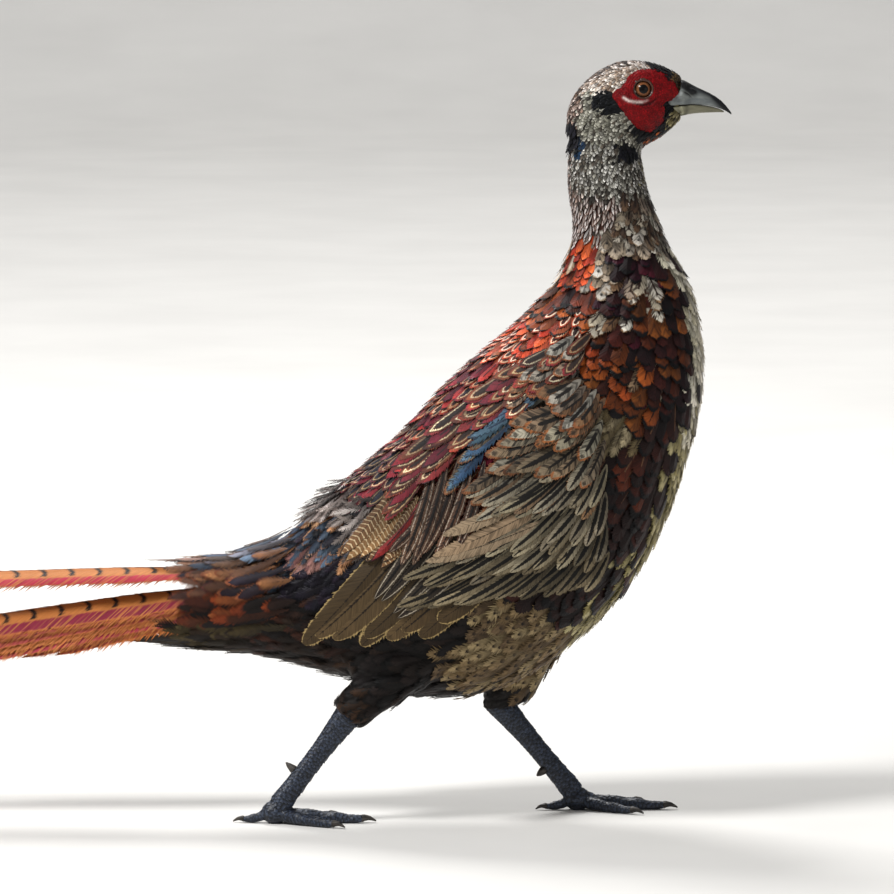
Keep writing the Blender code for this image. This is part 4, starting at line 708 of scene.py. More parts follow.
def vane_shape(look, random, count, aspect):
    """The points of feathers of one kind: along t and across a for each feather, and the faces of one.

    Each side has a web from the shaft out, in strips of faces, and beyond it the barbs' free ends.
    """
    barbs, strips = look["barbs"], look["strips"]
    each = strips + 1
    grid_u = np.repeat(np.arange(barbs + 1) / barbs, each)
    grid_f = np.tile(np.linspace(0.0, look["loose"], each), barbs + 1)
    tip_u = (np.arange(barbs) + 0.5) / barbs
    one_u = np.concatenate((grid_u, tip_u))
    one_f = np.concatenate((grid_f, np.ones(barbs)))
    u, f = np.tile(one_u, 2), np.tile(one_f, 2)
    side = np.repeat((-1.0, 1.0), len(one_u))
    faces = []
    for first, turn in ((0, 1), (len(one_u), -1)):
        for q in range(barbs):
            here = first + q * each
            for c in range(strips):
                faces.append([here + c, here + c + 1, here + c + 1 + each, here + c + each][::turn])
            faces.append([here + strips, first + each * (barbs + 1) + q, here + strips + each][::turn])
    is_tip = f == 1
    rows = (count, len(u))
    # The free ends of the barbs stray along the feather, and barbs stand closer towards its tip.
    u = np.clip(u + np.where(is_tip, 0.35 / barbs * random.normal(size=rows), 0), 0, 1)
    out = 0.02 + 0.98 * (1 - (1 - u) ** 1.7)

    def width_at(way):
        """How wide a plain vane is at a share of the way to its tip."""
        return way ** 0.6 * np.clip(1 - way ** look["blunt"], 0, 1) ** (0.5 * look["point"])

    if "widths" in look:
        wide = np.interp(out, *zip(*look["widths"]))
    else:
        wide = width_at(out) / width_at(np.linspace(0.01, 0.99, 99)).max()
    shaft = np.clip(out - aspect[:, None] * look["slant"] * wide, 0, 1)
    reach = np.where(is_tip, np.clip(1 + 0.10 * random.normal(size=rows), 0.7, 1.15), f)
    lopsided = 1 + side * random.normal(0, 0.08, (count, 1))
    along = shaft + (out - shaft) * reach
    across = wide * (look["shaft_at"] + (side - look["shaft_at"]) * reach * lopsided)
    side_width = 1 - side * look["shaft_at"]
    reach = np.broadcast_to(f * side_width / side_width.max(), rows)
    faces = np.array([corner for face in faces for corner in face]), np.array([len(face) for face in faces])
    return {
        "along": along, "across": across, "faces": faces, "reach": reach, "side": side, "barb": out,
        "tip": is_tip,
    }


def weights(t, a):
    """How much each of the 4 by 3 places of a feather's grid counts at t along it and a across."""
    x = np.clip(t, -0.05, 1.08) * 3
    along = columns(-(x - 1) * (x - 2) * (x - 3) / 6, x * (x - 2) * (x - 3) / 2,
                    -x * (x - 1) * (x - 3) / 2, x * (x - 1) * (x - 2) / 6)
    across = columns(a * (a - 1) / 2, 1 - a * a, a * (a + 1) / 2)
    return (along[..., :, None] * across[..., None, :]).reshape(*t.shape, 12)


def feather_colours(look, random, count):
    """Each feather's own ground, centre, band and edge, picked from its kind's and varied a little."""
    found = {}
    bright = 1 + look["vary"] * random.normal(size=count)
    for part in ("ground", "centre", "band", "edge"):
        choices = np.array([linear(colour) for colour in look[part].split()])
        picked = choices[random.integers(len(choices), size=count)]
        other = choices[random.integers(len(choices), size=count)]
        mixed = picked * 0.75 + other * 0.25
        found[part] = np.concatenate((np.clip(mixed[:, :3] * bright[:, None], 0, 1), mixed[:, 3:]), 1)
    return found


# What each point of a feather carries: colours or four numbers each, and one number each.
COLOUR_VALUES = ("ground", "centre", "band", "edge", "bands", "marks", "feel")
PLAIN_VALUES = ("barb", "bar_at", "bar_half", "deep")


class Batch:
    """Feathers gathered into one mesh."""

    def __init__(self):
        self.points, self.corners, self.sizes, self.total = [], [], [], 0
        self.values = defaultdict(list)

    def add(self, look, shape, points, bake, random, length):
        """Adds feathers of one kind, with their markings and their places on the baking map."""
        count, each = points.shape[:2]
        corners, sizes = shape["faces"]
        first = self.total + each * np.arange(count)
        self.points.append(points.reshape(-1, 3))
        self.corners.append((first[:, None] + corners[None]).reshape(-1))
        self.sizes.append(np.tile(sizes, count))
        self.total += each * count
        chance = random.random(count)
        centre, inner, outer, edge = look["bands"]
        strength, bars, bar_reach = look["bars"]
        shake = random.normal(0, 0.03, (count, 3)).T
        rows = feather_colours(look, random, count) | {
            "bands": columns(centre + (shake[0] if centre else 0), inner + shake[1], outer + shake[1],
                             edge + shake[2]),
            "marks": columns(look["tip"] + 2.6 * shake[0], strength, look["mottle"], bar_reach),
            "feel": columns(chance, look["gloss"], look["centre_from"], look["round"]),
            "bar_half": np.full(count, look["bar_half"]), "deep": np.full(count, look["deep"]),
        }
        for name, row in rows.items():
            self.values[name].append(np.repeat(row, each, axis=0))
        barb, along = shape["barb"], shape["along"]
        turns = bars * (barb + look["straight"] * (along - barb)) + random.random((count, 1))
        self.values["barb"].append((barb * np.reshape(length, (-1, 1))).reshape(-1))
        self.values["bar_at"].append(turns.reshape(-1))
        self.values["vane"].append(columns(0.5 + 0.5 * shape["side"] * shape["reach"], along).reshape(-1, 2))
        self.values["OFBake"].append(bake.reshape(-1, 2))

    def piece(self, name, slot, material=None):
        """The mesh of all feathers as a finished piece."""
        mesh = bpy.data.meshes.new(name)
        points, corners = np.concatenate(self.points), np.concatenate(self.corners)
        sizes = np.concatenate(self.sizes)
        mesh.vertices.add(len(points))
        mesh.vertices.foreach_set("co", points.astype(np.float32).reshape(-1))
        mesh.loops.add(len(corners))
        mesh.loops.foreach_set("vertex_index", corners.astype(np.int32))
        mesh.polygons.add(len(sizes))
        mesh.polygons.foreach_set("loop_start", (np.cumsum(sizes) - sizes).astype(np.int32))
        mesh.update(calc_edges=True)
        for key in ("OFBake", "vane"):
            values = np.concatenate(self.values[key])[corners]
            mesh.uv_layers.new(name=key).data.foreach_set("uv", values.astype(np.float32).reshape(-1))
        for key in COLOUR_VALUES:
            values = np.concatenate(self.values[key]).astype(np.float32)
            mesh.attributes.new(key, "FLOAT_COLOR", "POINT").data.foreach_set("color", values.reshape(-1))
        for key in PLAIN_VALUES:
            values = np.concatenate(self.values[key]).astype(np.float32)
            mesh.attributes.new(key, "FLOAT", "POINT").data.foreach_set("value", values)
        mesh.validate()
        return piece_from(mesh, material or plumage_material())


def plumage_material():
    """Keratin barbs set close into a vane: a soft sheen along the barbs, a metallic gloss on dark tips."""
    found = bpy.data.materials.get("plumage_keratin")
    if found:
        return found
    material, add = new_material("plumage_keratin")
    parts = {name: add("Attribute", attribute_name=name).outputs for name in COLOUR_VALUES + PLAIN_VALUES}
    packed = [parts[name]["Vector"] for name in ("bands", "marks", "feel")] + [add("UVMap", uv_map="vane")]
    bands, marks, feel, vane = (add("SeparateXYZ", (values,)).outputs for values in packed)
    barb = parts["barb"]["Fac"]
    # How far out from the shaft: 0 on it and 1 at the ends of the barbs.
    off = add("Math", (vane[0], 0.5), operation="SUBTRACT")
    off = add("Math", (off,), operation="ABSOLUTE")
    off = add("Math", (off, 2.0), operation="MULTIPLY")
    # Bands close round the tip, so the way to the tip counts as well over the last third of the vane.
    near_tip = add("MapRange", (vane[1], 0.70, 1.0))
    near_tip = add("Math", (near_tip, parts["feel"]["Alpha"]), operation="MULTIPLY")
    out = add("CombineXYZ", (off, near_tip))
    out = add("VectorMath", (out,), operation="LENGTH")
    # Barbs differ from one to the next, and their markings don't meet quite in line. barb is how far along
    # the shaft they start, in millimetres.
    own = add("Math", (feel[0], 91.0), operation="MULTIPLY")
    fine = add("Math", (barb, 1.7, own), operation="MULTIPLY_ADD")
    grain = add("CombineXYZ", (fine, off, own))
    grain = add("TexNoise", {"Vector": grain, "Scale": 1.0, "Detail": 2.0})
    shift = add("Math", (grain, 0.5), operation="SUBTRACT")
    out = add("Math", (shift, 0.30, out), operation="MULTIPLY_ADD")

    def within(low, high, soft=0.04):
        """1 where out lies between two reaches."""
        rise = add("Math", (out, low), operation="SUBTRACT")
        rise = add("MapRange", (rise, -soft, soft))
        fall = add("Math", (high, out), operation="SUBTRACT")
        fall = add("MapRange", (fall, -soft, soft))
        return add("Math", (rise, fall), operation="MULTIPLY")

    colour = parts["ground"]["Color"]
    showing = add("Math", (vane[1], feel[2]), operation="SUBTRACT")
    showing = add("MapRange", (showing, 0.0, 0.12))
    centre = add("Math", (within(-9.0, bands[0]), showing), operation="MULTIPLY")
    colour = add("Mix", {0: centre, 6: colour, 7: parts["centre"]["Color"]}, data_type="RGBA")
    for low, high, part in ((bands[1], bands[2], "band"), (parts["bands"]["Alpha"], 9.0, "edge")):
        colour = add("Mix", {0: within(low, high), 6: colour, 7: parts[part]["Color"]}, data_type="RGBA")
    # Blotches, drawn out along the barbs.
    blotch = add("Math", (barb, 0.42, own), operation="MULTIPLY_ADD")
    blotch = add("CombineXYZ", (blotch, vane[0], own))
    blotch = add("TexNoise", {"Vector": blotch, "Scale": 1.6, "Detail": 2.0})
    blotch = add("MapRange", (blotch, 0.50, 0.60))
    blotch = add("Math", (blotch, marks[2]), operation="MULTIPLY")
    colour = add("Mix", {0: blotch, 6: colour, 7: parts["centre"]["Color"]}, data_type="RGBA")
    # Bars, partly along the barbs and partly straight across.
    turns = add("Math", (shift, 0.5, parts["bar_at"]["Fac"]), operation="MULTIPLY_ADD")
    bar = add("Math", (turns,), operation="FRACT")
    bar = add("Math", (bar, 0.5), operation="SUBTRACT")
    bar = add("Math", (bar,), operation="ABSOLUTE")
    bar = add("Math", (parts["bar_half"]["Fac"], bar), operation="SUBTRACT")
    bar = add("MapRange", (bar, -0.04, 0.04))
    bar = add("Math", (bar, marks[1]), operation="MULTIPLY")
    bar = add("Math", (bar, within(-9.0, parts["marks"]["Alpha"])), operation="MULTIPLY")
    colour = add("Mix", {0: bar, 6: colour, 7: parts["band"]["Color"]}, data_type="RGBA")
    # The crescent of the tip starts sooner towards the edges.
    tip = add("Math", (off, off), operation="MULTIPLY")
    tip = add("Math", (tip, 0.16, vane[1]), operation="MULTIPLY_ADD")
    tip = add("Math", (tip, marks[0]), operation="SUBTRACT")
    tip = add("Math", (shift, 0.10, tip), operation="MULTIPLY_ADD")
    tip = add("MapRange", (tip, -0.03, 0.05))
    colour = add("Mix", {0: tip, 6: colour, 7: parts["edge"]["Color"]}, data_type="RGBA")
    # Each barb is a little lighter or darker than the next.
    light = add("MapRange", (grain, 0.25, 0.75, 0.66, 1.42))
    colour = add("VectorMath", {0: colour, "Scale": light}, operation="SCALE")
    # Painted shade: feathers are darker towards their roots, where the feathers over them would shade them.
    deep = add("MapRange", (vane[1], 0.5, 0.88, 1.0, 0.0))
    deep = add("Math", (deep, parts["deep"]["Fac"]), operation="MULTIPLY")
    deep = add("Math", (1.0, deep), operation="SUBTRACT")
    colour = add("VectorMath", {0: colour, "Scale": deep}, operation="SCALE")
    # Gloss turns coppery feathers purple where they face away.
    facing = add("LayerWeight", (0.35,)).outputs["Facing"]
    turned = add("Math", (facing, feel[1]), operation="MULTIPLY")
    turned = add("Math", (turned, 0.45), operation="MULTIPLY")
    purple = add("VectorMath", (colour, (1.0, 0.45, 1.25)), operation="MULTIPLY")
    colour = add("Mix", {0: turned, 6: colour, 7: purple}, data_type="RGBA")
    rough = add("MapRange", (feel[1], 0.0, 1.0, 0.66, 0.36))
    metal = add("Math", (feel[1], 0.35), operation="MULTIPLY")
    # Barbs 0.9 mm apart: real ones are finer, but wouldn't show.
    ridge = add("Math", (barb, 2 * math.pi / 0.9), operation="MULTIPLY")
    ridge = add("Math", (ridge,), operation="SINE")
    bump = add("Bump", {"Height": ridge, "Strength": 0.35, "Distance": 0.0001})
    shader = add("BsdfPrincipled", {
        "Base Color": colour, "Roughness": rough, "Metallic": metal, "Normal": bump,
        "Specular IOR Level": 0.18, "Sheen Weight": 0.05, "Sheen Roughness": 0.4,
    })
    add("OutputMaterial", {"Surface": shader})
    return material


def skin_material():
    """Thin matt skin under the coat, in the colours of the feathers over it."""
    material, add = new_material("matt_bird_skin")
    colour = add("Attribute", attribute_name="ground").outputs["Color"]
    place = add("TexCoord").outputs["Object"]
    # Pores and quill roots about 2 mm apart.
    pores = add("TexNoise", {"Vector": place, "Scale": 500.0, "Detail": 3.0})
    shade = add("MapRange", (pores, 0.3, 0.7, 0.45, 0.85))
    colour = add("VectorMath", {0: colour, "Scale": shade}, operation="SCALE")
    bump = add("Bump", {"Height": pores, "Strength": 0.5, "Distance": 0.0003})
    shader = add("BsdfPrincipled", {
        "Base Color": colour, "Roughness": 0.8, "Specular IOR Level": 0.2, "Normal": bump})
    add("OutputMaterial", {"Surface": shader})
    return material


def need(name):
    """A piece that an earlier operator made."""
    piece = bpy.data.objects.get(name)
    if piece is None:
        raise RuntimeError(f"{name} has to be made first")
    return piece


class PHEASANT_OT_skin(bpy.types.Operator):
    """Builds the one skin under the coat, from the head to the root of the tail and down to the hocks"""

    bl_idname = "pheasant.skin"
    bl_label = "Skin"

    def execute(self, context):
        coat = context.scene.pheasant_coat
        shape = merged_copy("head", "neck", "torso", "thigh_left", "thigh_right")
        root = merged_copy("tail")
        far = [point for point in root.verts if point.co.x < BIRD_X - SKIN_BACK]
        bmesh.ops.delete(root, geom=far, context="VERTS")
        hull = bmesh.ops.convex_hull(root, input=root.verts)
        inside = [face for face in root.faces if face not in set(hull["geom"])]
        bmesh.ops.delete(root, geom=inside, context="FACES_ONLY")
        shape.from_mesh(mesh_from(root, "spare"))
        fatten(shape, FATTEN)
        shape = remeshed(shape, SKIN_VOXEL, 12)
        shape.normal_update()
        heights, depths = zip(*COAT_DEPTH)
        for point, normal in [(point, point.normal.copy()) for point in shape.verts]:
            point.co -= normal * (FATTEN + coat.depth * np.interp(point.co.z, heights, depths))
        soften(shape, shape.verts, 1)
        skin = piece_from(mesh_from(shape, "skin"), skin_material())
        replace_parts(skin, "head", "neck", "torso", "thigh_left", "thigh_right")
        points = values_of(skin.data.vertices, "co", 3)
        kinds = kinds_at(in_side_view(points, DROPS), np.random.default_rng(coat.seed))
        colours = np.array([linear(KINDS[name]["ground"].split()[0]) for name in kinds], np.float32)
        ground = skin.data.attributes.new("ground", "FLOAT_COLOR", "POINT")
        ground.data.foreach_set("color", colours.reshape(-1))
        unwrap(skin)
        return {"FINISHED"}


def unwrap(piece):
    """Gives a piece its baking map, from its own shape."""
    bpy.context.view_layer.objects.active = piece
    piece.select_set(True)
    bpy.ops.object.mode_set(mode="EDIT")
    bpy.ops.mesh.select_all(action="SELECT")
    bpy.ops.uv.smart_project(angle_limit=math.radians(66), island_margin=0.004)
    bpy.ops.object.mode_set(mode="OBJECT")
    piece.data.uv_layers[0].name = "OFBake"
    piece.select_set(False)


def bake_places(points, skin, surface):
    """Where points lie on the unwrap of the skin's own shape."""
    mesh = skin.data
    layer = values_of(mesh.uv_layers["OFBake"].data, "uv", 2)
    found = []
    for point in points:
        face = mesh.polygons[surface.find_nearest(point)[2]]
        loops = layer[face.loop_start:face.loop_start + face.loop_total]
        corners = np.array([mesh.vertices[v].co for v in face.vertices])
        near = 1 / (np.linalg.norm(corners - point, axis=1) + 1e-5)
        found.append((loops * near[:, None]).sum(0) / near.sum())
    return np.array(found)


def root_patch(shape, bake):
    """The small patch of the baking map that each feather has at the place of its root."""
    return bake[:, None] + columns(shape["across"] / 2, shape["along"] - 0.5) * PATCH


def on_skin(shape, grids, mine):
    """The points of some feathers in each of their grids."""
    shares = weights(shape["along"], shape["across"])
    return [shares @ grid[mine].reshape(len(mine), 12, 3) for grid in grids]


def lay_feathers(points, kinds, name, slot, skin, surface, random):
    """Feathers of their kinds, rooted at points on the skin, as one piece."""
    coat = bpy.context.scene.pheasant_coat
    grids = laid_grids(points, kinds, surface, random, lie_at(points))
    bake = bake_places(points, skin, surface)
    batch = Batch()
    for kind_name in sorted(set(kinds)):
        look = KINDS[kind_name]
        mine = np.flatnonzero(kinds == kind_name)
        count = len(mine)
        length, width = look["size"]
        shape = vane_shape(look, random, count, np.full(count, width / length))
        spots, facing = on_skin(shape, grids, mine)
        facing /= np.linalg.norm(facing, axis=2)[..., None]
        lift = look["lift"] * MM * random.normal(1.0, 0.10, (count, 1)) * coat.lift
        tall = ROOT_LIFT + (lift - ROOT_LIFT) * np.clip(shape["along"], 0, 1.1) ** 1.15
        tall = tall - 0.10 * width * MM * shape["across"] ** 2
        tall = tall + np.where(shape["tip"], random.normal(0, 0.03 * width * MM, tall.shape), 0)
        spots = spots + facing * np.maximum(tall, 0.0001)[..., None]
        batch.add(look, shape, spots, root_patch(shape, bake[mine]), random, length)
    return batch.piece(name, slot)


COAT_PIECES = (
    ("coat_head", "plumage_dark", ("forehead", "face_black", "crown", "brow", "ear_black", "cheek",
        "throat_black", "chin", "rust", "throat")),
    ("coat_neck", "plumage_pale", ("neck", "neck_dark", "nape", "nape_black", "nape_blue")),
    ("coat_lower_neck", "plumage_pale", ("lower_neck", "neck_front", "old_spotted")),
    ("coat_mantle", "plumage_coppery", ("flame", "flame_big", "copper_small", "crimson", "mantle_pale",
        "mantle", "back", "low_back", "shoulder")),
    ("coat_breast", "plumage_coppery", ("maroon", "old_white", "chestnut", "stripe_pale", "breast_dark",
        "copper")),
    ("coat_lower_breast", "plumage_chestnut", ("buff", "buff_spot", "lower_breast", "lower_dark",
        "stripe_olive")),
    ("coat_belly", "plumage_dark", ("belly", "flank", "vent", "shin")),
    ("coat_rump", "plumage_barred", ("rump_down", "rump_orange", "rump_blue", "rump_pink", "rump_dark",
        "undertail")),
)


class PHEASANT_OT_plumage(bpy.types.Operator):
    """Lays the small feathers of the head, neck and body over the skin, kind by kind"""

    bl_idname = "pheasant.plumage"
    bl_label = "Body plumage"

    def execute(self, context):
        skin = need("skin")
        wings = {side: tree_of(need(f"wing_{side}_feathers")) for side in LEGS}
        surface = tree_of(skin)
        random = np.random.default_rng(context.scene.pheasant_coat.seed)

        def covered(points):
            places = in_side_view(points)
            hidden = on_face(places, FACE_MARGIN) | (places[:, 0] < COAT_BACK) | (places[:, 1] < COAT_LOW)
            return hidden | (places[:, 1] > BILL_FROM) & (places[:, 0] > horn_edge(places[:, 1]))

        def under_wing(point):
            side = "left" if point[1] > 0 else "right"
            out = Vector((0, LEGS[side], 0))
            return wings[side].ray_cast(Vector(point), out)[0] is not None

        points, kinds = scatter(skin, random, covered)
        kinds = mixed(kinds, random)
        ahead = lie_at(points)
        lengths = np.array([KINDS[name]["size"][0] for name in kinds]) * MM
        tips = points + ahead * lengths[:, None] * 0.9
        shows = np.array([not (under_wing(a) and under_wing(b)) for a, b in zip(points, tips)])
        points, kinds = points[shows], kinds[shows]
        for name, slot, members in COAT_PIECES:
            mine = np.isin(kinds, members)
            lay_feathers(points[mine], kinds[mine], name, slot, skin, surface, random)
        return {"FINISHED"}


def wing_bed(side_name):
    """How far out the folded wing's bed is at places in the side view: a smooth fit to its inner faces."""
    side = LEGS[side_name]
    wing = tree_of(merged_copy(f"wing_{side_name}"))
    rows, out = [], []
    for x in range(-76, 94, 5):
        for z in range(92, 281, 5):
            hit = wing.ray_cast(Vector((BIRD_X + x * MM, 0, z * MM)), Vector((0, side, 0)))[0]
            if hit is not None:
                rows.append((x, z))
                out.append(abs(hit.y))

    def terms(places):
        x, z = (places[..., 0] - 10) / 90, (places[..., 1] - 185) / 95
        return columns(*(x ** i * z ** j for i in range(5) for j in range(5 - i)))

    shares = np.linalg.lstsq(terms(np.array(rows, float)), np.array(out), rcond=None)[0]
    return lambda places: terms(places) @ shares


class PHEASANT_OT_wings(bpy.types.Operator):
    """Lays the tiers of each folded wing over its bed, from the primaries up to the scapulars"""

    bl_idname = "pheasant.wings"
    bl_label = "Wings"

    def execute(self, context):
        wing = context.scene.pheasant_wing
        for name, side in LEGS.items():
            random = np.random.default_rng(wing.seed + side)
            bed = wing_bed(name)
            batch = Batch()
            cells = np.array((MAP_COLUMNS, math.ceil(sum(tier[1] for tier in WING_TIERS) / MAP_COLUMNS)))
            laid = 0
            for names, count, root_a, root_b, tip_a, tip_b, widths, lifts in WING_TIERS:
                turn = np.linspace(0, 1, count)[:, None]
                roots = np.array(root_a) + (np.array(root_b) - root_a) * turn
                tips = np.array(tip_a) + (np.array(tip_b) - tip_a) * turn
                roots = roots + random.normal(0, 1.0, roots.shape)
                tips = tips + random.normal(0, 2.0, tips.shape)
                ahead = tips - roots
                length = np.linalg.norm(ahead, axis=1)
                width = widths[0] + (widths[1] - widths[0]) * turn[:, 0]
                down = columns(-ahead[:, 1], ahead[:, 0]) / length[:, None]
                for first, kind_name in enumerate(names):
                    mine = np.arange(first, count, len(names))
                    look = WING_KINDS[kind_name]
                    shape = vane_shape(look, random, len(mine), (width / length)[mine])
                    t, a = shape["along"], shape["across"]
                    bow = 0.035 * length[mine, None] * 4 * t * (1 - t)
                    spots = roots[mine, None] + ahead[mine, None] * t[..., None]
                    spots = spots + down[mine, None] * (a * width[mine, None] / 2 + bow)[..., None]
                    lift = lifts[0] + (lifts[1] - lifts[0]) * np.clip(t, 0, 1.1) ** 0.9
                    lift = lift * wing.lift + 0.45 * a - 0.06 * width[mine, None] * a ** 2
                    lift = lift + random.normal(0, 0.12, (len(mine), 1))
                    lift = lift + np.where(shape["tip"], random.normal(0, 0.12, t.shape), 0)
                    spots[..., 1] += DROPS * bed(spots) / MM
                    out = bed(spots) + lift * MM
                    points = columns(BIRD_X + spots[..., 0] * MM, side * out, spots[..., 1] * MM)
                    corner = columns(*divmod(laid + mine, MAP_COLUMNS))[:, None, ::-1]
                    bake = (corner + columns(0.5 + 0.4 * a, 0.05 + 0.9 * t)) / cells
                    batch.add(look, shape, points, bake, random, length[mine])
                laid += count
            piece = batch.piece(f"wing_{name}_feathers", "plumage_barred")
            if side > 0:
                piece.data.flip_normals()
            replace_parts(piece, f"wing_{name}")
        return {"FINISHED"}


# Where the long feathers of the tail are rooted in the side view, how long each pair is from the middle out,
# and how much of each is left out inside the root of the tail.
TAIL_ROOT = (-113.0, 123.0)
TAIL_LENGTHS = (400, 345, 305, 262, 222, 188, 158, 132, 112)
TAIL_HIDDEN = 8
# Their width along the way to their tips, for long ones and for shorter ones.
TAIL_LONG = ((0.0, 0.45), (0.16, 1.0), (0.42, 0.98), (0.68, 0.76), (0.87, 0.42), (1.0, 0.0))
TAIL_SHORT = ((0.0, 0.45), (0.30, 1.0), (0.68, 0.82), (0.90, 0.46), (1.0, 0.0))
TAIL_KIND = kind((400, 20), "92203a a82c3c 741a2e", centre="a8602a 945020 b07038", band="120d0b",
    edge="a8602e 8a4a22", bands=(0.40, 2, 2, 0.80), bar_half=0.09, mottle=0.7, deep=0.0, gloss=0.5,
    loose=0.82, vary=0.05, round=0.0, straight=0.85, slant=0.95, shaft_at=-0.55)
# The ground of the outer pairs, the barbs on 0.4 m of the tail, and the fewest on a feather.
TAIL_LOWER = "8a4a26 7a3c20 94303a a05a2c"
TAIL_BARBS, FEWEST_BARBS = 330, 60
# Coverts round the root of the tail, by ring: x of their roots, lift of the tip, and x of their tips on
# the top, upper side, lower side and underside.
TAIL_RINGS = (
    (-122, 1.0, (-160, -148, -150, -176)), (-116, 1.6, (-153, -143, -146, -168)),
    (-110, 2.1, (-146, -138, -141, -160)), (-104, 2.6, (-138, -133, -137, -152)),
    (-98, 3.0, (-132, -131, -139, -147)), (-92, 3.4, (-124, -125, -131, -138)),
    (-86, 3.7, (-118, -118, -123, -129)),
)
# The root of the tail that they lie round: x, its top, its underside and half its width.
TAIL_CONE = (
    (-80, 173.0, 95.0, 37.0), (-100, 161.0, 97.0, 28.0), (-120, 152.5, 99.0, 21.0),
    (-150, 149.6, 102.0, 15.0), (-175, 148.6, 104.0, 11.0), (-205, 147.5, 106.0, 8.0),
)
# How many coverts are in a ring, and the sines of the turns where each kind gives way to the next.
COVERTS_ROUND, COVERT_SECTORS = 26, (0.80, 0.25, -0.45)
TAIL_COVERT_KINDS = {
    "top": kind((50, 8), "3e4e60 8a5f3c 6a4630 5e7284 3a2a20", barbs=26, edge="3a2a20",
        bands=(0.0, 2, 2, 0.9), loose=0.3, gloss=0.5, stray=5.0, vary=0.2),
    "upper": kind((50, 8), "3a2420 1d1620 6a4428 2a1a16 94623a", barbs=26, edge="7a4428 4a2420",
        bands=(0.0, 2, 2, 0.86), loose=0.3, gloss=0.5, stray=6.0, vary=0.2),
    "middle": kind((50, 8), "171110 24160f 2c1810 6a3416 1c120d 8a4a24", barbs=26, edge="7a3416 3a1a10",
        tip=0.92, loose=0.35, gloss=0.5, vary=0.2),
    "under": kind((50, 9), "1c1510 2c2014 120e0c 3a3018", barbs=26, edge="4a4026 2a1c10", tip=0.92,
        loose=0.35, gloss=0.3, vary=0.2),
}


class PHEASANT_OT_tail(bpy.types.Operator):
    """Lays the long barred feathers of the tail in their roof, each over the next"""

    bl_idname = "pheasant.tail"
    bl_label = "Tail"

    def execute(self, context):
        tail = context.scene.pheasant_tail
        random = np.random.default_rng(tail.seed)
        batch = Batch()
        for pair, whole in enumerate(TAIL_LENGTHS):
            for place, side in enumerate((-1, 1)):
                length = (whole - TAIL_HIDDEN) * MM * tail.length
                # The middle pair lies level on top. The others hang beside it like a roof, each pair lower.
                droop = math.radians(7.0 + 0.33 * pair if pair else 1.0)
                yaw = math.radians(0.3 + 0.35 * pair)
                roll = math.radians(50.0 + pair if pair else 38.0)
                height = 15.6 - 1.25 * (pair - 1) if pair else 25.0
                width = (18.5 - 3.0 * pair / 8 if pair else 17.0) * MM
                ahead = np.array((-math.cos(droop) * math.cos(yaw), side * math.sin(yaw), -math.sin(droop)))
                across = np.array((0, side * math.cos(roll), -math.sin(roll)))
                out = np.array((0, side * math.sin(roll), math.cos(roll)))
                start = np.array((BIRD_X + (TAIL_ROOT[0] - TAIL_HIDDEN) * MM, side * (0.6 + 0.3 * pair) * MM,
                                  (TAIL_ROOT[1] + height) * MM)) + across * width / 2
                look = dict(TAIL_KIND)
                if pair > 1:
                    look["ground"] = TAIL_LOWER
                look["bars"] = (1.0, length / tail.bar_spacing, 0.30)
                look["barbs"] = max(FEWEST_BARBS, int(TAIL_BARBS * length / 0.4))
                look["widths"] = TAIL_LONG if pair < 3 else TAIL_SHORT
                shape = vane_shape(look, random, 1, np.array([width / length]))
                t, a = shape["along"], shape["across"]
                spots = start + ahead * (length * t)[..., None] + across * (a * width / 2)[..., None]
                spots[..., 2] -= 0.010 * t * t
                rise = 0.0011 * (1 - np.abs(a)) * (1 - t) + 0.0004 - 0.0012 * a * a
                rise = rise + np.where(shape["tip"], random.normal(0, 0.0002, t.shape), 0)
                spots = spots + out * rise[..., None]
                cell = (pair * 2 + place + 0.5 + 0.42 * a) / (2 * len(TAIL_LENGTHS))
                batch.add(look, shape, spots, columns(cell, 0.02 + 0.95 * t), random, length / MM)
        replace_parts(batch.piece("tail_feathers", "plumage_barred"), "tail")
        self.lay_coverts(random)
        return {"FINISHED"}

    def lay_coverts(self, random):
        """Rings of loose coverts that close over the root of the tail."""
        batch, skin = Batch(), need("skin")
        surface = tree_of(skin)
        x_at, tops, lows, wides = (np.array(row, float) for row in zip(*TAIL_CONE[::-1]))
        for ring, (x, high, ends) in enumerate(TAIL_RINGS):
            turns = 360 / COVERTS_ROUND * (np.arange(COVERTS_ROUND) + 0.5 * (ring % 2))
            turns = turns + random.normal(0, 4, COVERTS_ROUND)
            bands = np.digitize(np.sin(np.radians(turns)), COVERT_SECTORS)
            for band, name in enumerate(TAIL_COVERT_KINDS):
                look, mine = TAIL_COVERT_KINDS[name], np.flatnonzero(bands == band)
                count = len(mine)
                length = (x - ends[band]) * random.normal(1, 0.22, (count, 1))
                shape = vane_shape(look, random, count, look["size"][1] / length[:, 0])
                t, a = shape["along"], shape["across"]
                at = x + random.normal(0, 2.0, (count, 1)) - length * t
                top, low, wide = (np.interp(at, x_at, row) for row in (tops, lows, wides))
                tall = (top - low) / 2
                stray = random.normal(0, look["stray"], (count, 1)) * t
                angle = np.radians(turns[mine, None] + stray) + a * look["size"][1] / (tall + wide)
                lift = 0.3 + high * t + random.normal(0, 0.3, (count, 1)) - 0.6 * a ** 2
                lift = lift + np.where(shape["tip"], random.normal(0, 0.25, t.shape), 0)
                side = (wide + lift) * np.cos(angle)
                height = (top + low) / 2 + (tall + lift) * np.sin(angle)
                spots = columns(BIRD_X + at * MM, side * MM, height * MM)
                bake = root_patch(shape, bake_places(spots[:, 0], skin, surface))
                batch.add(look, shape, spots, bake, random, length)
        batch.piece("tail_coverts", "plumage_dark")


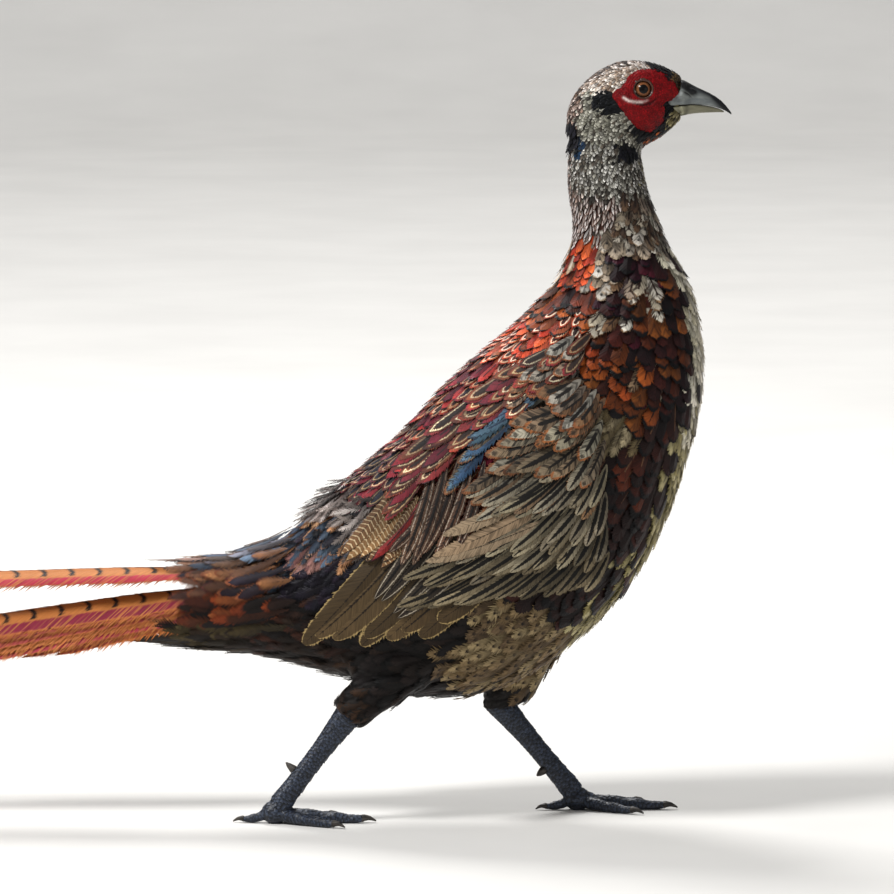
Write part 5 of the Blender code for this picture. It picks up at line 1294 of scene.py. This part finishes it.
def side_surface(surface, side):
    """How far out a surface is at a place in the side view, in metres, seen from one side."""
    def out(x, z):
        start = Vector((BIRD_X + x * MM, side * 0.1, z * MM))
        hit = surface.ray_cast(start, Vector((0, -side, 0)))[0]
        if hit is None:
            hit = surface.find_nearest(Vector((start.x, side * 0.012, start.z)))[0]
        return abs(hit.y)
    return out


def ring_grid(turns, rings, place):
    """A ring of faces: a grid whose points place puts by turn and by share of the way from its inner rim."""
    shape = bmesh.new()
    bmesh.ops.create_grid(shape, x_segments=turns, y_segments=rings, size=0.5)
    points = np.array([point.co for point in shape.verts])
    low, high = points.min(0), points.max(0)
    shares = (points - low)[:, :2] / (high - low)[:2]
    for point, (turn, share) in zip(shape.verts, shares):
        point.co = place(turn % 1.0 * 2 * math.pi, share)
    bmesh.ops.remove_doubles(shape, verts=shape.verts, dist=1e-6)
    return shape


def bare_skin_material(face):
    """Bare wattle skin swollen with blood: wet-looking red with velvety papillae, with painted shade in its
    folds.
    """
    material, add = new_material("red_wattle_skin")
    relief_shade = add("Attribute", attribute_name="relief_shade").outputs["Fac"]
    pale = add("Attribute", attribute_name="pale").outputs["Fac"]
    place = add("TexCoord").outputs["Object"]
    # Papillae 0.9 mm apart.
    cells = add("TexVoronoi", {"Vector": place, "Scale": 1100.0}).outputs["Distance"]
    cells = add("MapRange", (cells, 0.1, 0.6, 1.0, 0.0))
    blotch = add("TexNoise", {"Vector": place, "Scale": 260.0, "Detail": 3.0})
    # Painted shade: where the skin lies low, in the fold round the eye and between papillae, wrinkles and
    # swellings, it turns to the fold colour.
    colour = add("Mix", {0: relief_shade, 6: (*face.fold_shade_colour, 1.0), 7: (*face.colour, 1.0)}, data_type="RGBA")
    # Painted shade: darker between the papillae and lighter on them.
    shade = add("MapRange", (cells, 0.0, 1.0, 0.55, 1.15))
    colour = add("VectorMath", {0: colour, "Scale": shade}, operation="SCALE")
    # Painted shade: soft blotches, lighter and darker, over the skin.
    shade = add("MapRange", (blotch, 0.3, 0.7, 0.6, 1.2))
    colour = add("VectorMath", {0: colour, "Scale": shade}, operation="SCALE")
    # A painted highlight along the wrinkle under the eye.
    colour = add("Mix", {0: pale, 6: colour, 7: linear("e2d0c8")}, data_type="RGBA")
    bump = add("Bump", {"Height": cells, "Strength": 0.8, "Distance": 0.0002})
    shader = add("BsdfPrincipled", {
        "Base Color": colour, "Roughness": 0.55, "Specular IOR Level": 0.13, "Normal": bump})
    add("OutputMaterial", {"Surface": shader})
    return material


def lid_material():
    """Wrinkled bare lid skin, brown-red and slightly moist."""
    material, add = new_material("lid_skin")
    place = add("TexCoord").outputs["Object"]
    grain = add("TexNoise", {"Vector": place, "Scale": 1500.0, "Detail": 3.0})
    colour = add("ValToRGB", (grain,))
    set_ramp(colour, (0.3, "1e0e0a"), (0.7, "5a3222"))
    bump = add("Bump", {"Height": grain, "Strength": 0.6, "Distance": 0.0002})
    shader = add("BsdfPrincipled", {
        "Base Color": colour, "Roughness": 0.35, "Specular IOR Level": 0.5, "Normal": bump})
    add("OutputMaterial", {"Surface": shader})
    return material


def eye_frame(name, side):
    """The centre of an eye and the way it looks."""
    low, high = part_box(f"eye_{name}")
    centre = (low + high) / 2
    front = Vector((BIRD_X + EYE_AT[0] * MM, 0, EYE_AT[1] * MM))
    looks = Vector((front.x - centre.x, side * 0.0061, front.z - centre.z)).normalized()
    return centre, looks, (high.z - low.z) / 2


# How far the red skin starts from the eye, how far it goes under the feathers, and the share of its way out
# over which its rim falls, all but the share in millimetres.
FACE_INNER, FACE_OVERLAP, FACE_RIM = 5.9, 0.9, 0.10
# The deep fold round the back and underside of the eye: how far off, and between which degrees of turn.
FOLD_REACH, FOLD_TURNS = 9.2, (190, 345)
# The spacing of the wrinkles that go round the eye, in millimetres.
WRINKLE = 1.5
# Half the length and height of the opening between the lids.
LID_OPENING = (4.5, 4.3)
# A painted highlight: a pale streak along the wrinkle under the eye, in the side view, and where it has faded
# out.
UNDER_EYE = [Vector(spot) for spot in (
    (105.6, 420.3), (108.6, 418.6), (112.2, 417.9), (116.4, 417.8), (119.8, 418.9),
)]
UNDER_EYE_END = 121.5


class PHEASANT_OT_face(bpy.types.Operator):
    """Shapes the red skin of the face with its folds and papillae, and the rims of the lids"""

    bl_idname = "pheasant.face"
    bl_label = "Face"

    def execute(self, context):
        face = context.scene.pheasant_face
        red, rim = bare_skin_material(face), lid_material()
        surface = tree_of(need("skin"))
        for name, side in LEGS.items():
            out_at = side_surface(surface, side)
            reliefs = {}

            def place(turn, share):
                reach = FACE_INNER + (face_reach(turn) + FACE_OVERLAP - FACE_INNER) * share
                x = EYE_AT[0] + reach * math.cos(turn)
                z = EYE_AT[1] + reach * math.sin(turn)
                rim_fall = min((1 - share) / FACE_RIM, 1.0)
                # The skin swells in a lobe under the eye and a smaller one in front of it.
                lobes = 0.9 * hump(x, z, (121, 410), (9, 8)) + 0.4 * hump(x, z, (132, 424), (6, 4))
                first, last = FOLD_TURNS
                along_fold = (math.degrees(turn) - first) / (last - first)
                fold = 0.0
                if 0 < along_fold < 1:
                    fold = math.exp(-((reach - FOLD_REACH) / 0.8) ** 2) * math.sin(math.pi * along_fold)
                wrinkle = math.sin(reach * 2 * math.pi / WRINKLE + 2 * math.sin(turn * 3))
                wrinkle *= math.exp(-(reach - 5) / 4)
                spot = Vector((x, z, side * 7.0))
                papilla = max(0.0, 1 - noise.voronoi(spot / face.papilla)[0][0] * 1.5) ** 1.2
                swell = noise.noise(spot / 4.5) * 0.35
                high = face.rise * (0.35 + 0.65 * rim_fall) + lobes + swell
                high += (0.34 * papilla + 0.10 * wrinkle - 0.75 * fold) * rim_fall
                if rim_fall < 1:
                    high = high * rim_fall ** 0.5 - 0.5 * (1 - rim_fall)
                co = Vector((BIRD_X + x * MM, side * (out_at(x, z) + high * MM), z * MM))
                # Painted shade: the skin is coloured lighter where papillae, wrinkles and swellings rise and
                # darker in the fold.
                tone = 0.55 + 0.5 * papilla + 0.12 * wrinkle - 0.55 * fold + 0.4 * swell
                # A painted highlight: a pale streak along the wrinkle under the eye.
                bare = Vector((x, z))
                away = min((bare - a.lerp(b, clamped((bare - a).dot(b - a) / (b - a).length_squared))).length
                           for a, b in zip(UNDER_EYE, UNDER_EYE[1:]))
                pale = math.exp(-(away / 0.8) ** 2) * (0.75 + 0.5 * noise.noise(spot * 0.9))
                pale *= min(1, (UNDER_EYE_END - x) / 7)
                reliefs[tuple(round(v, 7) for v in co)] = (clamped(tone), clamped(pale))
                return co

            shape = ring_grid(190, 70, place)
            face_towards(shape, Vector((0, side, 0)))
            layers = [shape.verts.layers.float.new(layer) for layer in ("relief_shade", "pale")]
            for point in shape.verts:
                found = reliefs.get(tuple(round(v, 7) for v in point.co), (0.6, 0.0))
                for layer, value in zip(layers, found):
                    point[layer] = value
            piece_from(mesh_from(shape, f"face_{name}"), red)

            centre, looks, radius = eye_frame(name, side)
            along = looks.cross(Vector((0, 0, 1))).normalized()
            up = along.cross(looks)

            def lid(turn, share):
                # A roll from inside the eye's opening, over its rim and down onto the skin.
                angle = math.radians(-40 + 230 * share)
                roll = 0.85 + 0.08 * math.sin(turn * 9) + 0.06 * math.sin(turn * 23 + 1)
                roll += 0.10 * math.sin(share * 25)
                reach = 0.4 + roll * (1 - math.cos(angle)) if share < 1 else 2.8
                edge = along * math.cos(turn) * (LID_OPENING[0] + reach)
                edge += up * math.sin(turn) * (LID_OPENING[1] + reach)
                depth = radius / MM * 0.62 + roll * math.sin(angle) + 0.35
                return centre + (edge + looks * depth) * MM

            shape = ring_grid(96, 14, lid)
            face_towards(shape, looks)
            piece_from(mesh_from(shape, f"lids_{name}"), rim)
        return {"FINISHED"}


def eye_material(eye):
    """A wet eye: a clear cornea over an orange-brown iris of fine fibres, with a black pupil."""
    material, add = new_material("wet_eye")
    off = add("Attribute", attribute_name="off_axis").outputs["Fac"]
    place = add("TexCoord").outputs["Object"]
    fibres = add("TexNoise", {"Vector": place, "Scale": 1800.0, "Detail": 2.0})
    fibres = add("MapRange", (fibres, 0.3, 0.7, 0.6, 1.3))
    iris = add("VectorMath", {0: (*eye.iris_colour,), "Scale": fibres}, operation="SCALE")
    pupil = add("MapRange", (off, eye.pupil / MM - 0.15, eye.pupil / MM + 0.15))
    colour = add("Mix", {0: pupil, 6: linear("050404"), 7: iris}, data_type="RGBA")
    outer = add("MapRange", {0: off, 1: eye.iris / MM - 1.1, 2: eye.iris / MM - 0.5, 4: 0.6})
    colour = add("Mix", {0: outer, 6: colour, 7: linear("2a170e")}, data_type="RGBA")
    ring = add("MapRange", (off, eye.iris / MM - 0.2, eye.iris / MM + 0.2))
    colour = add("Mix", {0: ring, 6: colour, 7: linear("120a07")}, data_type="RGBA")
    shader = add("BsdfPrincipled", {
        "Base Color": colour, "Roughness": 0.35, "Specular IOR Level": 0.10, "Coat Weight": 0.3,
        "Coat Roughness": 0.03, "Coat IOR": 1.38})
    add("OutputMaterial", {"Surface": shader})
    return material


CORNEA_RISE, CORNEA_REACH = 0.0005, 0.0046
# Further off the eye's axis than its iris reaches, in millimetres.
WHOLE_EYE = 9.0


class PHEASANT_OT_eyes(bpy.types.Operator):
    """Sets a wet eye with a rounded cornea in each socket"""

    bl_idname = "pheasant.eyes"
    bl_label = "Eyes"

    def execute(self, context):
        eye = context.scene.pheasant_eye
        finish = eye_material(eye)
        for name, side in LEGS.items():
            centre, looks, radius = eye_frame(name, side)
            shape = bmesh.new()
            turn = Vector((0, 0, 1)).rotation_difference(looks).to_matrix().to_4x4()
            bmesh.ops.create_uvsphere(shape, u_segments=64, v_segments=48, radius=radius * 0.98)
            off = shape.verts.layers.float.new("off_axis")
            for point in shape.verts:
                from_axis = math.hypot(point.co.x, point.co.y)
                point[off] = from_axis / MM if point.co.z > 0 else WHOLE_EYE
                if point.co.z > 0:
                    point.co.z += CORNEA_RISE * max(0.0, 1 - (from_axis / CORNEA_REACH) ** 2)
            bmesh.ops.transform(shape, matrix=Matrix.Translation(centre) @ turn, verts=shape.verts)
            piece = piece_from(mesh_from(shape, f"eyeball_{name}"), finish)
            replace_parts(piece, f"eye_{name}")
        return {"FINISHED"}


def horn_material(name, low, high, scale, dark=None):
    """Horn: thin layers of keratin, smooth and slightly waxy, streaked along its growth.

    dark is the colour where the attribute tone is 1, for a piece that has it.
    """
    material, add = new_material(name)
    place = add("TexCoord").outputs["Object"]
    streaks = add("Mapping", {"Vector": place, "Scale": (0.25, 1.0, 1.0)})
    streaks = add("TexNoise", {"Vector": streaks, "Scale": scale, "Detail": 4.0})
    colour = add("ValToRGB", (streaks,))
    set_ramp(colour, (0.32, low), (0.68, high))
    if dark:
        tone = add("Attribute", attribute_name="tone").outputs["Fac"]
        colour = add("Mix", {0: tone, 6: colour.outputs[0], 7: linear(dark)}, data_type="RGBA")
    wear = add("TexNoise", {"Vector": place, "Scale": scale * 4, "Detail": 2.0})
    rough = add("MapRange", (wear, 0.3, 0.7, 0.42, 0.6))
    bump = add("Bump", {"Height": streaks, "Strength": 0.35, "Distance": 0.0002})
    shader = add("BsdfPrincipled", {
        "Base Color": colour, "Roughness": rough, "Specular IOR Level": 0.28, "Normal": bump})
    add("OutputMaterial", {"Surface": shader})
    return material


# The nostril in the side view, and the cosine and sine of the slope of its flap.
NOSTRIL, NOSTRIL_SLOPE = (143.6, 424.4), (0.75, 0.66)
# Where the dark tip of the bill begins, where its base does, and how far the horn lies over the skin there.
DARK_TIP_FROM, HORN_BASE, HORN_OVER_SKIN = 156, 144.5, 0.0011


class PHEASANT_OT_bill(bpy.types.Operator):
    """Smooths the two halves of the bill and gives them their horn"""

    bl_idname = "pheasant.bill"
    bl_label = "Bill"

    def execute(self, context):
        skin = tree_of(need("skin"))
        out_at = {side: side_surface(skin, side) for side in LEGS.values()}
        for half, low, high in (("bill_upper", "555a5c", "868a86"), ("bill_lower", "5a584a", "86836c")):
            horn = horn_material(f"{half}_keratin", low, high, 260.0, dark="0c0d10")
            shape = remeshed(merged_copy(half), 0.0004, 5)
            shape.normal_update()
            tone = shape.verts.layers.float.new("tone")
            for point in shape.verts:
                x, z = in_side_view(point.co)
                # A flap of horn slopes over the nostril, which opens as a slit along its lower edge.
                along = NOSTRIL_SLOPE[0] * (x - NOSTRIL[0]) - NOSTRIL_SLOPE[1] * (z - NOSTRIL[1])
                across = NOSTRIL_SLOPE[1] * (x - NOSTRIL[0]) + NOSTRIL_SLOPE[0] * (z - NOSTRIL[1])
                flap = hump(along, across, (0, 0), (5.4, 2.0), power=4)
                slit = hump(along, across, (1.2, -2.4), (3.0, 0.5))
                if half == "bill_upper":
                    point.co += point.normal * MM * (0.5 * flap - 0.8 * slit)
                # The horn is darker at the tip and towards the top. The flap is dark in its own colour and
                # darker still with painted shade, and the slit is painted dark as the shade inside it.
                tip = min(max((x - DARK_TIP_FROM) / 10, 0), 0.8) * (half == "bill_upper")
                ridge = 0.9 * max(0, (z - 424.5 + 0.55 * (x - 141)) / 4)
                point[tone] = min(1.0, max(1.1 * flap, 1.2 * slit, tip) + ridge)
                # The base of the horn reaches back over the cheek to where the feathers end.
                back = clamped((HORN_BASE - x) / 5.0) ** 2
                x -= back * max(1.0, 140.7 - horn_edge(z))
                point.co.x = BIRD_X + x * MM
                side = math.copysign(1, point.co.y)
                wide = side * (out_at[side](x, z) + HORN_OVER_SKIN)
                if abs(wide) > abs(point.co.y):
                    point.co.y += (wide - point.co.y) * min(1, 3.5 * back) * min(1, abs(point.normal.y) * 2.2)
            soften(shape, [point for point in shape.verts if in_side_view(point.co)[0] < HORN_BASE + 2.5], 4)
            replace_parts(piece_from(mesh_from(shape, f"{half}_horn"), horn), half)
        return {"FINISHED"}


def leg_skin_material(name, low, high, scales=False):
    """Scaly leg skin: dull, dry and leathery, dark between its scales and paler at their edges."""
    material, add = new_material(name)
    place = add("TexCoord").outputs["Object"]
    patches = add("TexNoise", {"Vector": place, "Scale": 300.0, "Detail": 4.0})
    colour = add("ValToRGB", (patches,))
    set_ramp(colour, (0.32, low), (0.7, high))
    if scales:
        along = add("UVMap", uv_map="vane")
        along = add("SeparateXYZ", (along,)).outputs[1]
        groove = add("MapRange", (along, 0.3, 0.62))
        colour = add("Mix", {0: groove, 6: linear("05070b"), 7: colour}, data_type="RGBA")
        rim = add("MapRange", {0: along, 1: 0.84, 2: 0.97, 4: 0.55})
        colour = add("Mix", {0: rim, 6: colour, 7: linear("5c6678")}, data_type="RGBA")
    cells = add("TexVoronoi", {"Vector": place, "Scale": 900.0}).outputs["Distance"]
    bump = add("Bump", {"Height": cells, "Strength": 0.5, "Distance": 0.0002})
    shader = add("BsdfPrincipled", {
        "Base Color": colour, "Roughness": 0.45, "Specular IOR Level": 0.4, "Normal": bump})
    add("OutputMaterial", {"Surface": shader})
    return material


# How far out each leg stands, the height over which its shank ends, how far its top goes up, and under
# which height no scales grow.
LEG_OUT, SHANK_TOP, CUFF, SOLE_EDGE = 0.027, 0.05, 0.004, 0.0016
# How far back from its claw a toe narrows, and by what share.
TAPER_REACH, TAPER = 0.0065, 0.45
# Legs and claws are made a little thicker before they are smoothed, which thins them.
CLAW_FATTEN = 0.0002
SCUTES = 17


class PHEASANT_OT_legs(bpy.types.Operator):
    """Shapes the legs and toes and sets scutes down their fronts and small scales round them"""

    bl_idname = "pheasant.legs"
    bl_label = "Legs"

    def execute(self, context):
        leg = context.scene.pheasant_leg
        skin = leg_skin_material("leg_skin_dry", "14171f", "272c38")
        plate = leg_skin_material("leg_scutes_dry", "181d28", "353e50", scales=True)
        random = np.random.default_rng(leg.seed)
        for name, side in LEGS.items():
            shape = merged_copy(f"shank_{name}", f"foot_{name}")
            fatten(shape, CLAW_FATTEN)
            shape = remeshed(shape, 0.0006, 6)
            hock, ankle = (
                Vector((BIRD_X + x * MM, side * LEG_OUT, z * MM)) for x, z in (HOCKS[name], ANKLES[name]))
            # The shank's flat top goes up under the feathers of the shin.
            up = (hock - ankle).normalized()
            shape.normal_update()
            for point in shape.verts:
                if point.co.z > SHANK_TOP:
                    point.co += up * CUFF * clamped((point.normal.dot(up) - 0.2) / 0.4)
            # Each toe narrows towards its claw.
            for toe in TOES:
                claw = [point.co for point in merged_copy(f"claw_{name}_{toe}").verts]
                base = sum(sorted(claw, key=lambda spot: (spot - ankle).length)[:8], Vector()) / 8
                for point in shape.verts:
                    near = max(0.0, 1 - (point.co - base).length / TAPER_REACH)
                    point.co = point.co.lerp(base, TAPER * near)
            for point in shape.verts:
                point.co.z = max(point.co.z, 0.0)
            limb = piece_from(mesh_from(shape, f"leg_{name}"), skin)
            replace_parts(limb, f"shank_{name}", f"foot_{name}")
            unwrap(limb)
            surface = tree_of(limb)

            def heading(points):
                down = np.array(ankle - hock)
                down /= np.linalg.norm(down)
                away = points - np.array(ankle)
                away[:, 2] = 0
                away /= np.linalg.norm(away, axis=1)[:, None] + 1e-9
                on_foot = np.clip((0.016 - points[:, 2]) / 0.006, 0, 1)[:, None]
                return down * (1 - on_foot) + away * on_foot

            points, kinds = scatter(
                limb, random, lambda points: points[:, 2] < SOLE_EDGE,
                lambda points, random: np.full(len(points), "scale"))
            front = [surface.find_nearest(hock.lerp(ankle, share) + Vector((0.02, 0, 0.004)))[0]
                     for share in np.linspace(0.10, 0.93, SCUTES)]
            points = np.concatenate((points, np.array(front)))
            kinds = np.concatenate((kinds, np.full(SCUTES, "scute")))
            batch = Batch()
            grids = laid_grids(points, kinds, surface, random, heading(points))
            bake = bake_places(points, limb, surface)
            for kind_name in ("scale", "scute"):
                look, mine = KINDS[kind_name], np.flatnonzero(kinds == kind_name)
                length, width = look["size"]
                shape = vane_shape(look, random, len(mine), np.full(len(mine), width / length))
                spots, facing = on_skin(shape, grids, mine)
                tall = look["lift"] * MM * (shape["along"] - 0.3 * shape["across"] ** 2)
                spots = spots + facing * tall[..., None]
                spots[..., 2] = np.maximum(spots[..., 2], 0.0)
                batch.add(look, shape, spots, root_patch(shape, bake[mine]), random, length)
            batch.piece(f"leg_scales_{name}", "leg_skin", plate)
        return {"FINISHED"}


class PHEASANT_OT_claws(bpy.types.Operator):
    """Smooths the claws and spurs and gives them their horn"""

    bl_idname = "pheasant.claws"
    bl_label = "Claws and spurs"

    def execute(self, context):
        horn = horn_material("claw_horn", "1c1a19", "4b453f", 500.0)
        for name in LEGS:
            for part in [f"claw_{name}_{toe}" for toe in TOES] + [f"spur_{name}"]:
                shape = merged_copy(part)
                fatten(shape, CLAW_FATTEN)
                shape = remeshed(shape, 0.00028, 4)
                for point in shape.verts:
                    point.co.z = max(point.co.z, 0.0)
                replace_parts(piece_from(mesh_from(shape, f"{part}_horn"), horn), part)
        return {"FINISHED"}


# The floor of the stage: half its width, how far it comes to the front, and where it starts to curve up
# behind, with the radius of that curve and the height of the wall over it.
FLOOR_HALF, FLOOR_FRONT, BEND_FROM, BEND_RADIUS, WALL = 30.0, 12.0, 5.6, 3.0, 12.0


def studio_material(stage):
    """Matt painted board for the floor and backdrop: pale, even and without gloss."""
    material, add = new_material("matt_painted_board")
    place = add("TexCoord").outputs["Object"]
    grain = add("TexNoise", {"Vector": place, "Scale": 6.0, "Detail": 3.0})
    shade = add("MapRange", (grain, 0.3, 0.7, 0.97, 1.03))
    colour = add("VectorMath", {0: (*stage.floor_colour,), "Scale": shade}, operation="SCALE")
    shader = add("BsdfPrincipled", {"Base Color": colour, "Roughness": 0.9, "Specular IOR Level": 0.1})
    add("OutputMaterial", {"Surface": shader})
    return material


class PHEASANT_OT_stage(bpy.types.Operator):
    """Sets the pale floor that curves up behind, soft lights and the camera"""

    bl_idname = "pheasant.stage"
    bl_label = "Stage"

    def execute(self, context):
        stage = context.scene.pheasant_stage
        board = bmesh.new()
        ends = [board.verts.new((x, -FLOOR_FRONT, 0.0)) for x in (-FLOOR_HALF, FLOOR_HALF)]
        front = [board.edges.new(ends)]
        bend = [(BEND_FROM + BEND_RADIUS * math.sin(turn), BEND_RADIUS - BEND_RADIUS * math.cos(turn))
                for turn in np.radians(90 * np.arange(1, 25) / 24)]
        for y, z in ((BEND_FROM, 0.0), *bend, (BEND_FROM + BEND_RADIUS, WALL)):
            made = bmesh.ops.extrude_edge_only(board, edges=front)["geom"]
            for point in (part for part in made if isinstance(part, bmesh.types.BMVert)):
                point.co.y, point.co.z = y, z
            front = [part for part in made if isinstance(part, bmesh.types.BMEdge) and all(
                abs(end.co.y - y) < 1e-6 and abs(end.co.z - z) < 1e-6 for end in part.verts)]
        bmesh.ops.recalc_face_normals(board, faces=board.faces)
        placed(mesh_from(board, "floor"), studio_material(stage))
        target = Vector((BIRD_X + 0.00406, 0.0, 0.2163))
        for name, spot, size, power in (
            ("key_light", (-1.6, -1.25, 2.6), 0.9, 1.0), ("fill_light", (2.4, -2.0, 0.9), 2.2, 0.10),
            ("rim_light", (-0.6, 1.6, 2.4), 1.0, 0.62), ("backdrop_light", (0.0, 3.2, 3.6), 2.6, 1.3),
        ):
            lamp = bpy.data.lights.new(name, "AREA")
            lamp.shape, lamp.size, lamp.energy = "DISK", size, stage.light * power
            holder = bpy.data.objects.new(name, lamp)
            context.scene.collection.objects.link(holder)
            holder.location = Vector(spot) + Vector((target.x, 0, 0))
            aim = target if name != "backdrop_light" else Vector((0.0, 6.6, 0.4))
            holder.rotation_euler = (aim - holder.location).to_track_quat("-Z", "Y").to_euler()
        world = bpy.data.worlds.new("studio")
        context.scene.world = world
        world.use_nodes = True
        world.node_tree.nodes.clear()
        sky = node(world.node_tree, "Background", ((*stage.sky_colour, 1.0), stage.sky))
        node(world.node_tree, "OutputWorld", (sky,))
        camera = bpy.data.objects.new("camera", bpy.data.cameras.new("camera"))
        context.scene.collection.objects.link(camera)
        away, high = stage.distance, stage.elevation
        camera.location = target + Vector((0, -away * math.cos(high), away * math.sin(high)))
        camera.rotation_euler = (target - camera.location).to_track_quat("-Z", "Y").to_euler()
        camera.data.lens = camera.data.sensor_width * away / stage.width
        camera.data.clip_end = 40.0
        context.scene.camera = camera
        context.scene.view_settings.view_transform = "Standard"
        return {"FINISHED"}


def size_property(name, description, default):
    """A length in metres for a property group."""
    return FloatProperty(name=name, description=description, default=default, unit="LENGTH", min=0.0)


def colour_property(name, description, default):
    """A colour, given as sRGB hex, for a property group."""
    return FloatVectorProperty(name=name, description=description, default=linear(default)[:3],
                               subtype="COLOR", min=0.0, max=1.0)


def seed_property(default):
    """The number that its random draws start from."""
    return IntProperty(name="Seed", description="Number that the random draws start from", default=default)


class PHEASANT_PG_coat(bpy.types.PropertyGroup):
    """Sizes of the coat."""

    depth: FloatProperty(name="Depth", description="Depth of the coat over the skin, as a share", default=1.0)
    lift: FloatProperty(name="Lift", description="How far the feathers stand off, as a share", default=1.0)
    seed: seed_property(7)


class PHEASANT_PG_wing(bpy.types.PropertyGroup):
    """Sizes of the folded wings."""

    lift: FloatProperty(name="Lift", description="How far the tiers stand off, as a share", default=1.0)
    seed: seed_property(21)


class PHEASANT_PG_tail(bpy.types.PropertyGroup):
    """Sizes of the tail."""

    length: FloatProperty(name="Length", description="Length of the tail, as a share", default=1.0)
    bar_spacing: size_property("Bar spacing", "Distance from one dark bar to the next", 0.016)
    seed: seed_property(5)


class PHEASANT_PG_face(bpy.types.PropertyGroup):
    """Sizes and colours of the bare face."""

    colour: colour_property("Red", "Colour of the bare skin", "a00a12")
    # The colour of the painted shade in the folds and hollows of the bare skin.
    fold_shade_colour: colour_property("Folds", "Colour in the folds of the bare skin", "340406")
    papilla: FloatProperty(name="Papillae", description="Spacing of papillae in millimetres", default=1.15)
    rise: FloatProperty(name="Rise", description="Height of the bare skin in millimetres", default=0.9)


class PHEASANT_PG_eye(bpy.types.PropertyGroup):
    """Sizes and colours of the eyes."""

    pupil: size_property("Pupil", "Radius of the pupil", 0.0027)
    iris: size_property("Iris", "Radius of the iris", 0.0044)
    iris_colour: colour_property("Iris", "Colour of the iris", "7c4c2c")


class PHEASANT_PG_leg(bpy.types.PropertyGroup):
    """Choices for the legs."""

    seed: seed_property(31)


class PHEASANT_PG_stage(bpy.types.PropertyGroup):
    """Floor, light and camera."""

    floor_colour: colour_property("Floor", "Colour of the floor", "dcdad6")
    sky_colour: colour_property("Surroundings", "Colour of the light all round", "f2f4f8")
    sky: FloatProperty(name="Surroundings", description="Strength of the light all round", default=0.33)
    light: FloatProperty(name="Lights", description="Power of the key light", default=96.0, unit="POWER")
    distance: size_property("Distance", "Distance of the camera", 5.0)
    elevation: FloatProperty(name="Elevation", description="How far the camera looks down", subtype="ANGLE",
                             unit="ROTATION", default=math.radians(6.0))
    width: size_property("Width", "Width of the view at the pheasant", 0.5185)


class PHEASANT_PT_panel(bpy.types.Panel):
    """Lists the steps that build the pheasant"""

    bl_idname = "PHEASANT_PT_panel"
    bl_label = "Common Pheasant"
    bl_space_type = "VIEW_3D"
    bl_region_type = "UI"
    bl_category = "Pheasant"

    def draw(self, context):
        for step in STEPS:
            self.layout.operator(step.bl_idname)
        for group in GROUPS:
            settings = getattr(context.scene, group)
            box = self.layout.box()
            for name in settings.bl_rna.properties.keys():
                if name not in ("rna_type", "name"):
                    box.prop(settings, name)


STEPS = (
    PHEASANT_OT_skin, PHEASANT_OT_wings, PHEASANT_OT_plumage, PHEASANT_OT_tail, PHEASANT_OT_face,
    PHEASANT_OT_eyes, PHEASANT_OT_bill, PHEASANT_OT_legs, PHEASANT_OT_claws, PHEASANT_OT_stage,
)
GROUPS = {
    "pheasant_coat": PHEASANT_PG_coat, "pheasant_wing": PHEASANT_PG_wing, "pheasant_tail": PHEASANT_PG_tail,
    "pheasant_face": PHEASANT_PG_face, "pheasant_eye": PHEASANT_PG_eye, "pheasant_leg": PHEASANT_PG_leg,
    "pheasant_stage": PHEASANT_PG_stage,
}


def register():
    for group in (*GROUPS.values(), *STEPS, PHEASANT_PT_panel):
        bpy.utils.register_class(group)
    for name, group in GROUPS.items():
        setattr(bpy.types.Scene, name, PointerProperty(type=group))


def unregister():
    for name in GROUPS:
        delattr(bpy.types.Scene, name)
    for group in reversed((*GROUPS.values(), *STEPS, PHEASANT_PT_panel)):
        bpy.utils.unregister_class(group)


def main():
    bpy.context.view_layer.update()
    register()
    bpy.ops.pheasant.skin()
    bpy.ops.pheasant.wings()
    bpy.ops.pheasant.plumage()
    bpy.ops.pheasant.tail()
    bpy.ops.pheasant.face()
    bpy.ops.pheasant.eyes()
    bpy.ops.pheasant.bill()
    bpy.ops.pheasant.legs()
    bpy.ops.pheasant.claws()
    bpy.ops.pheasant.stage()


if __name__ == "__main__":
    main()
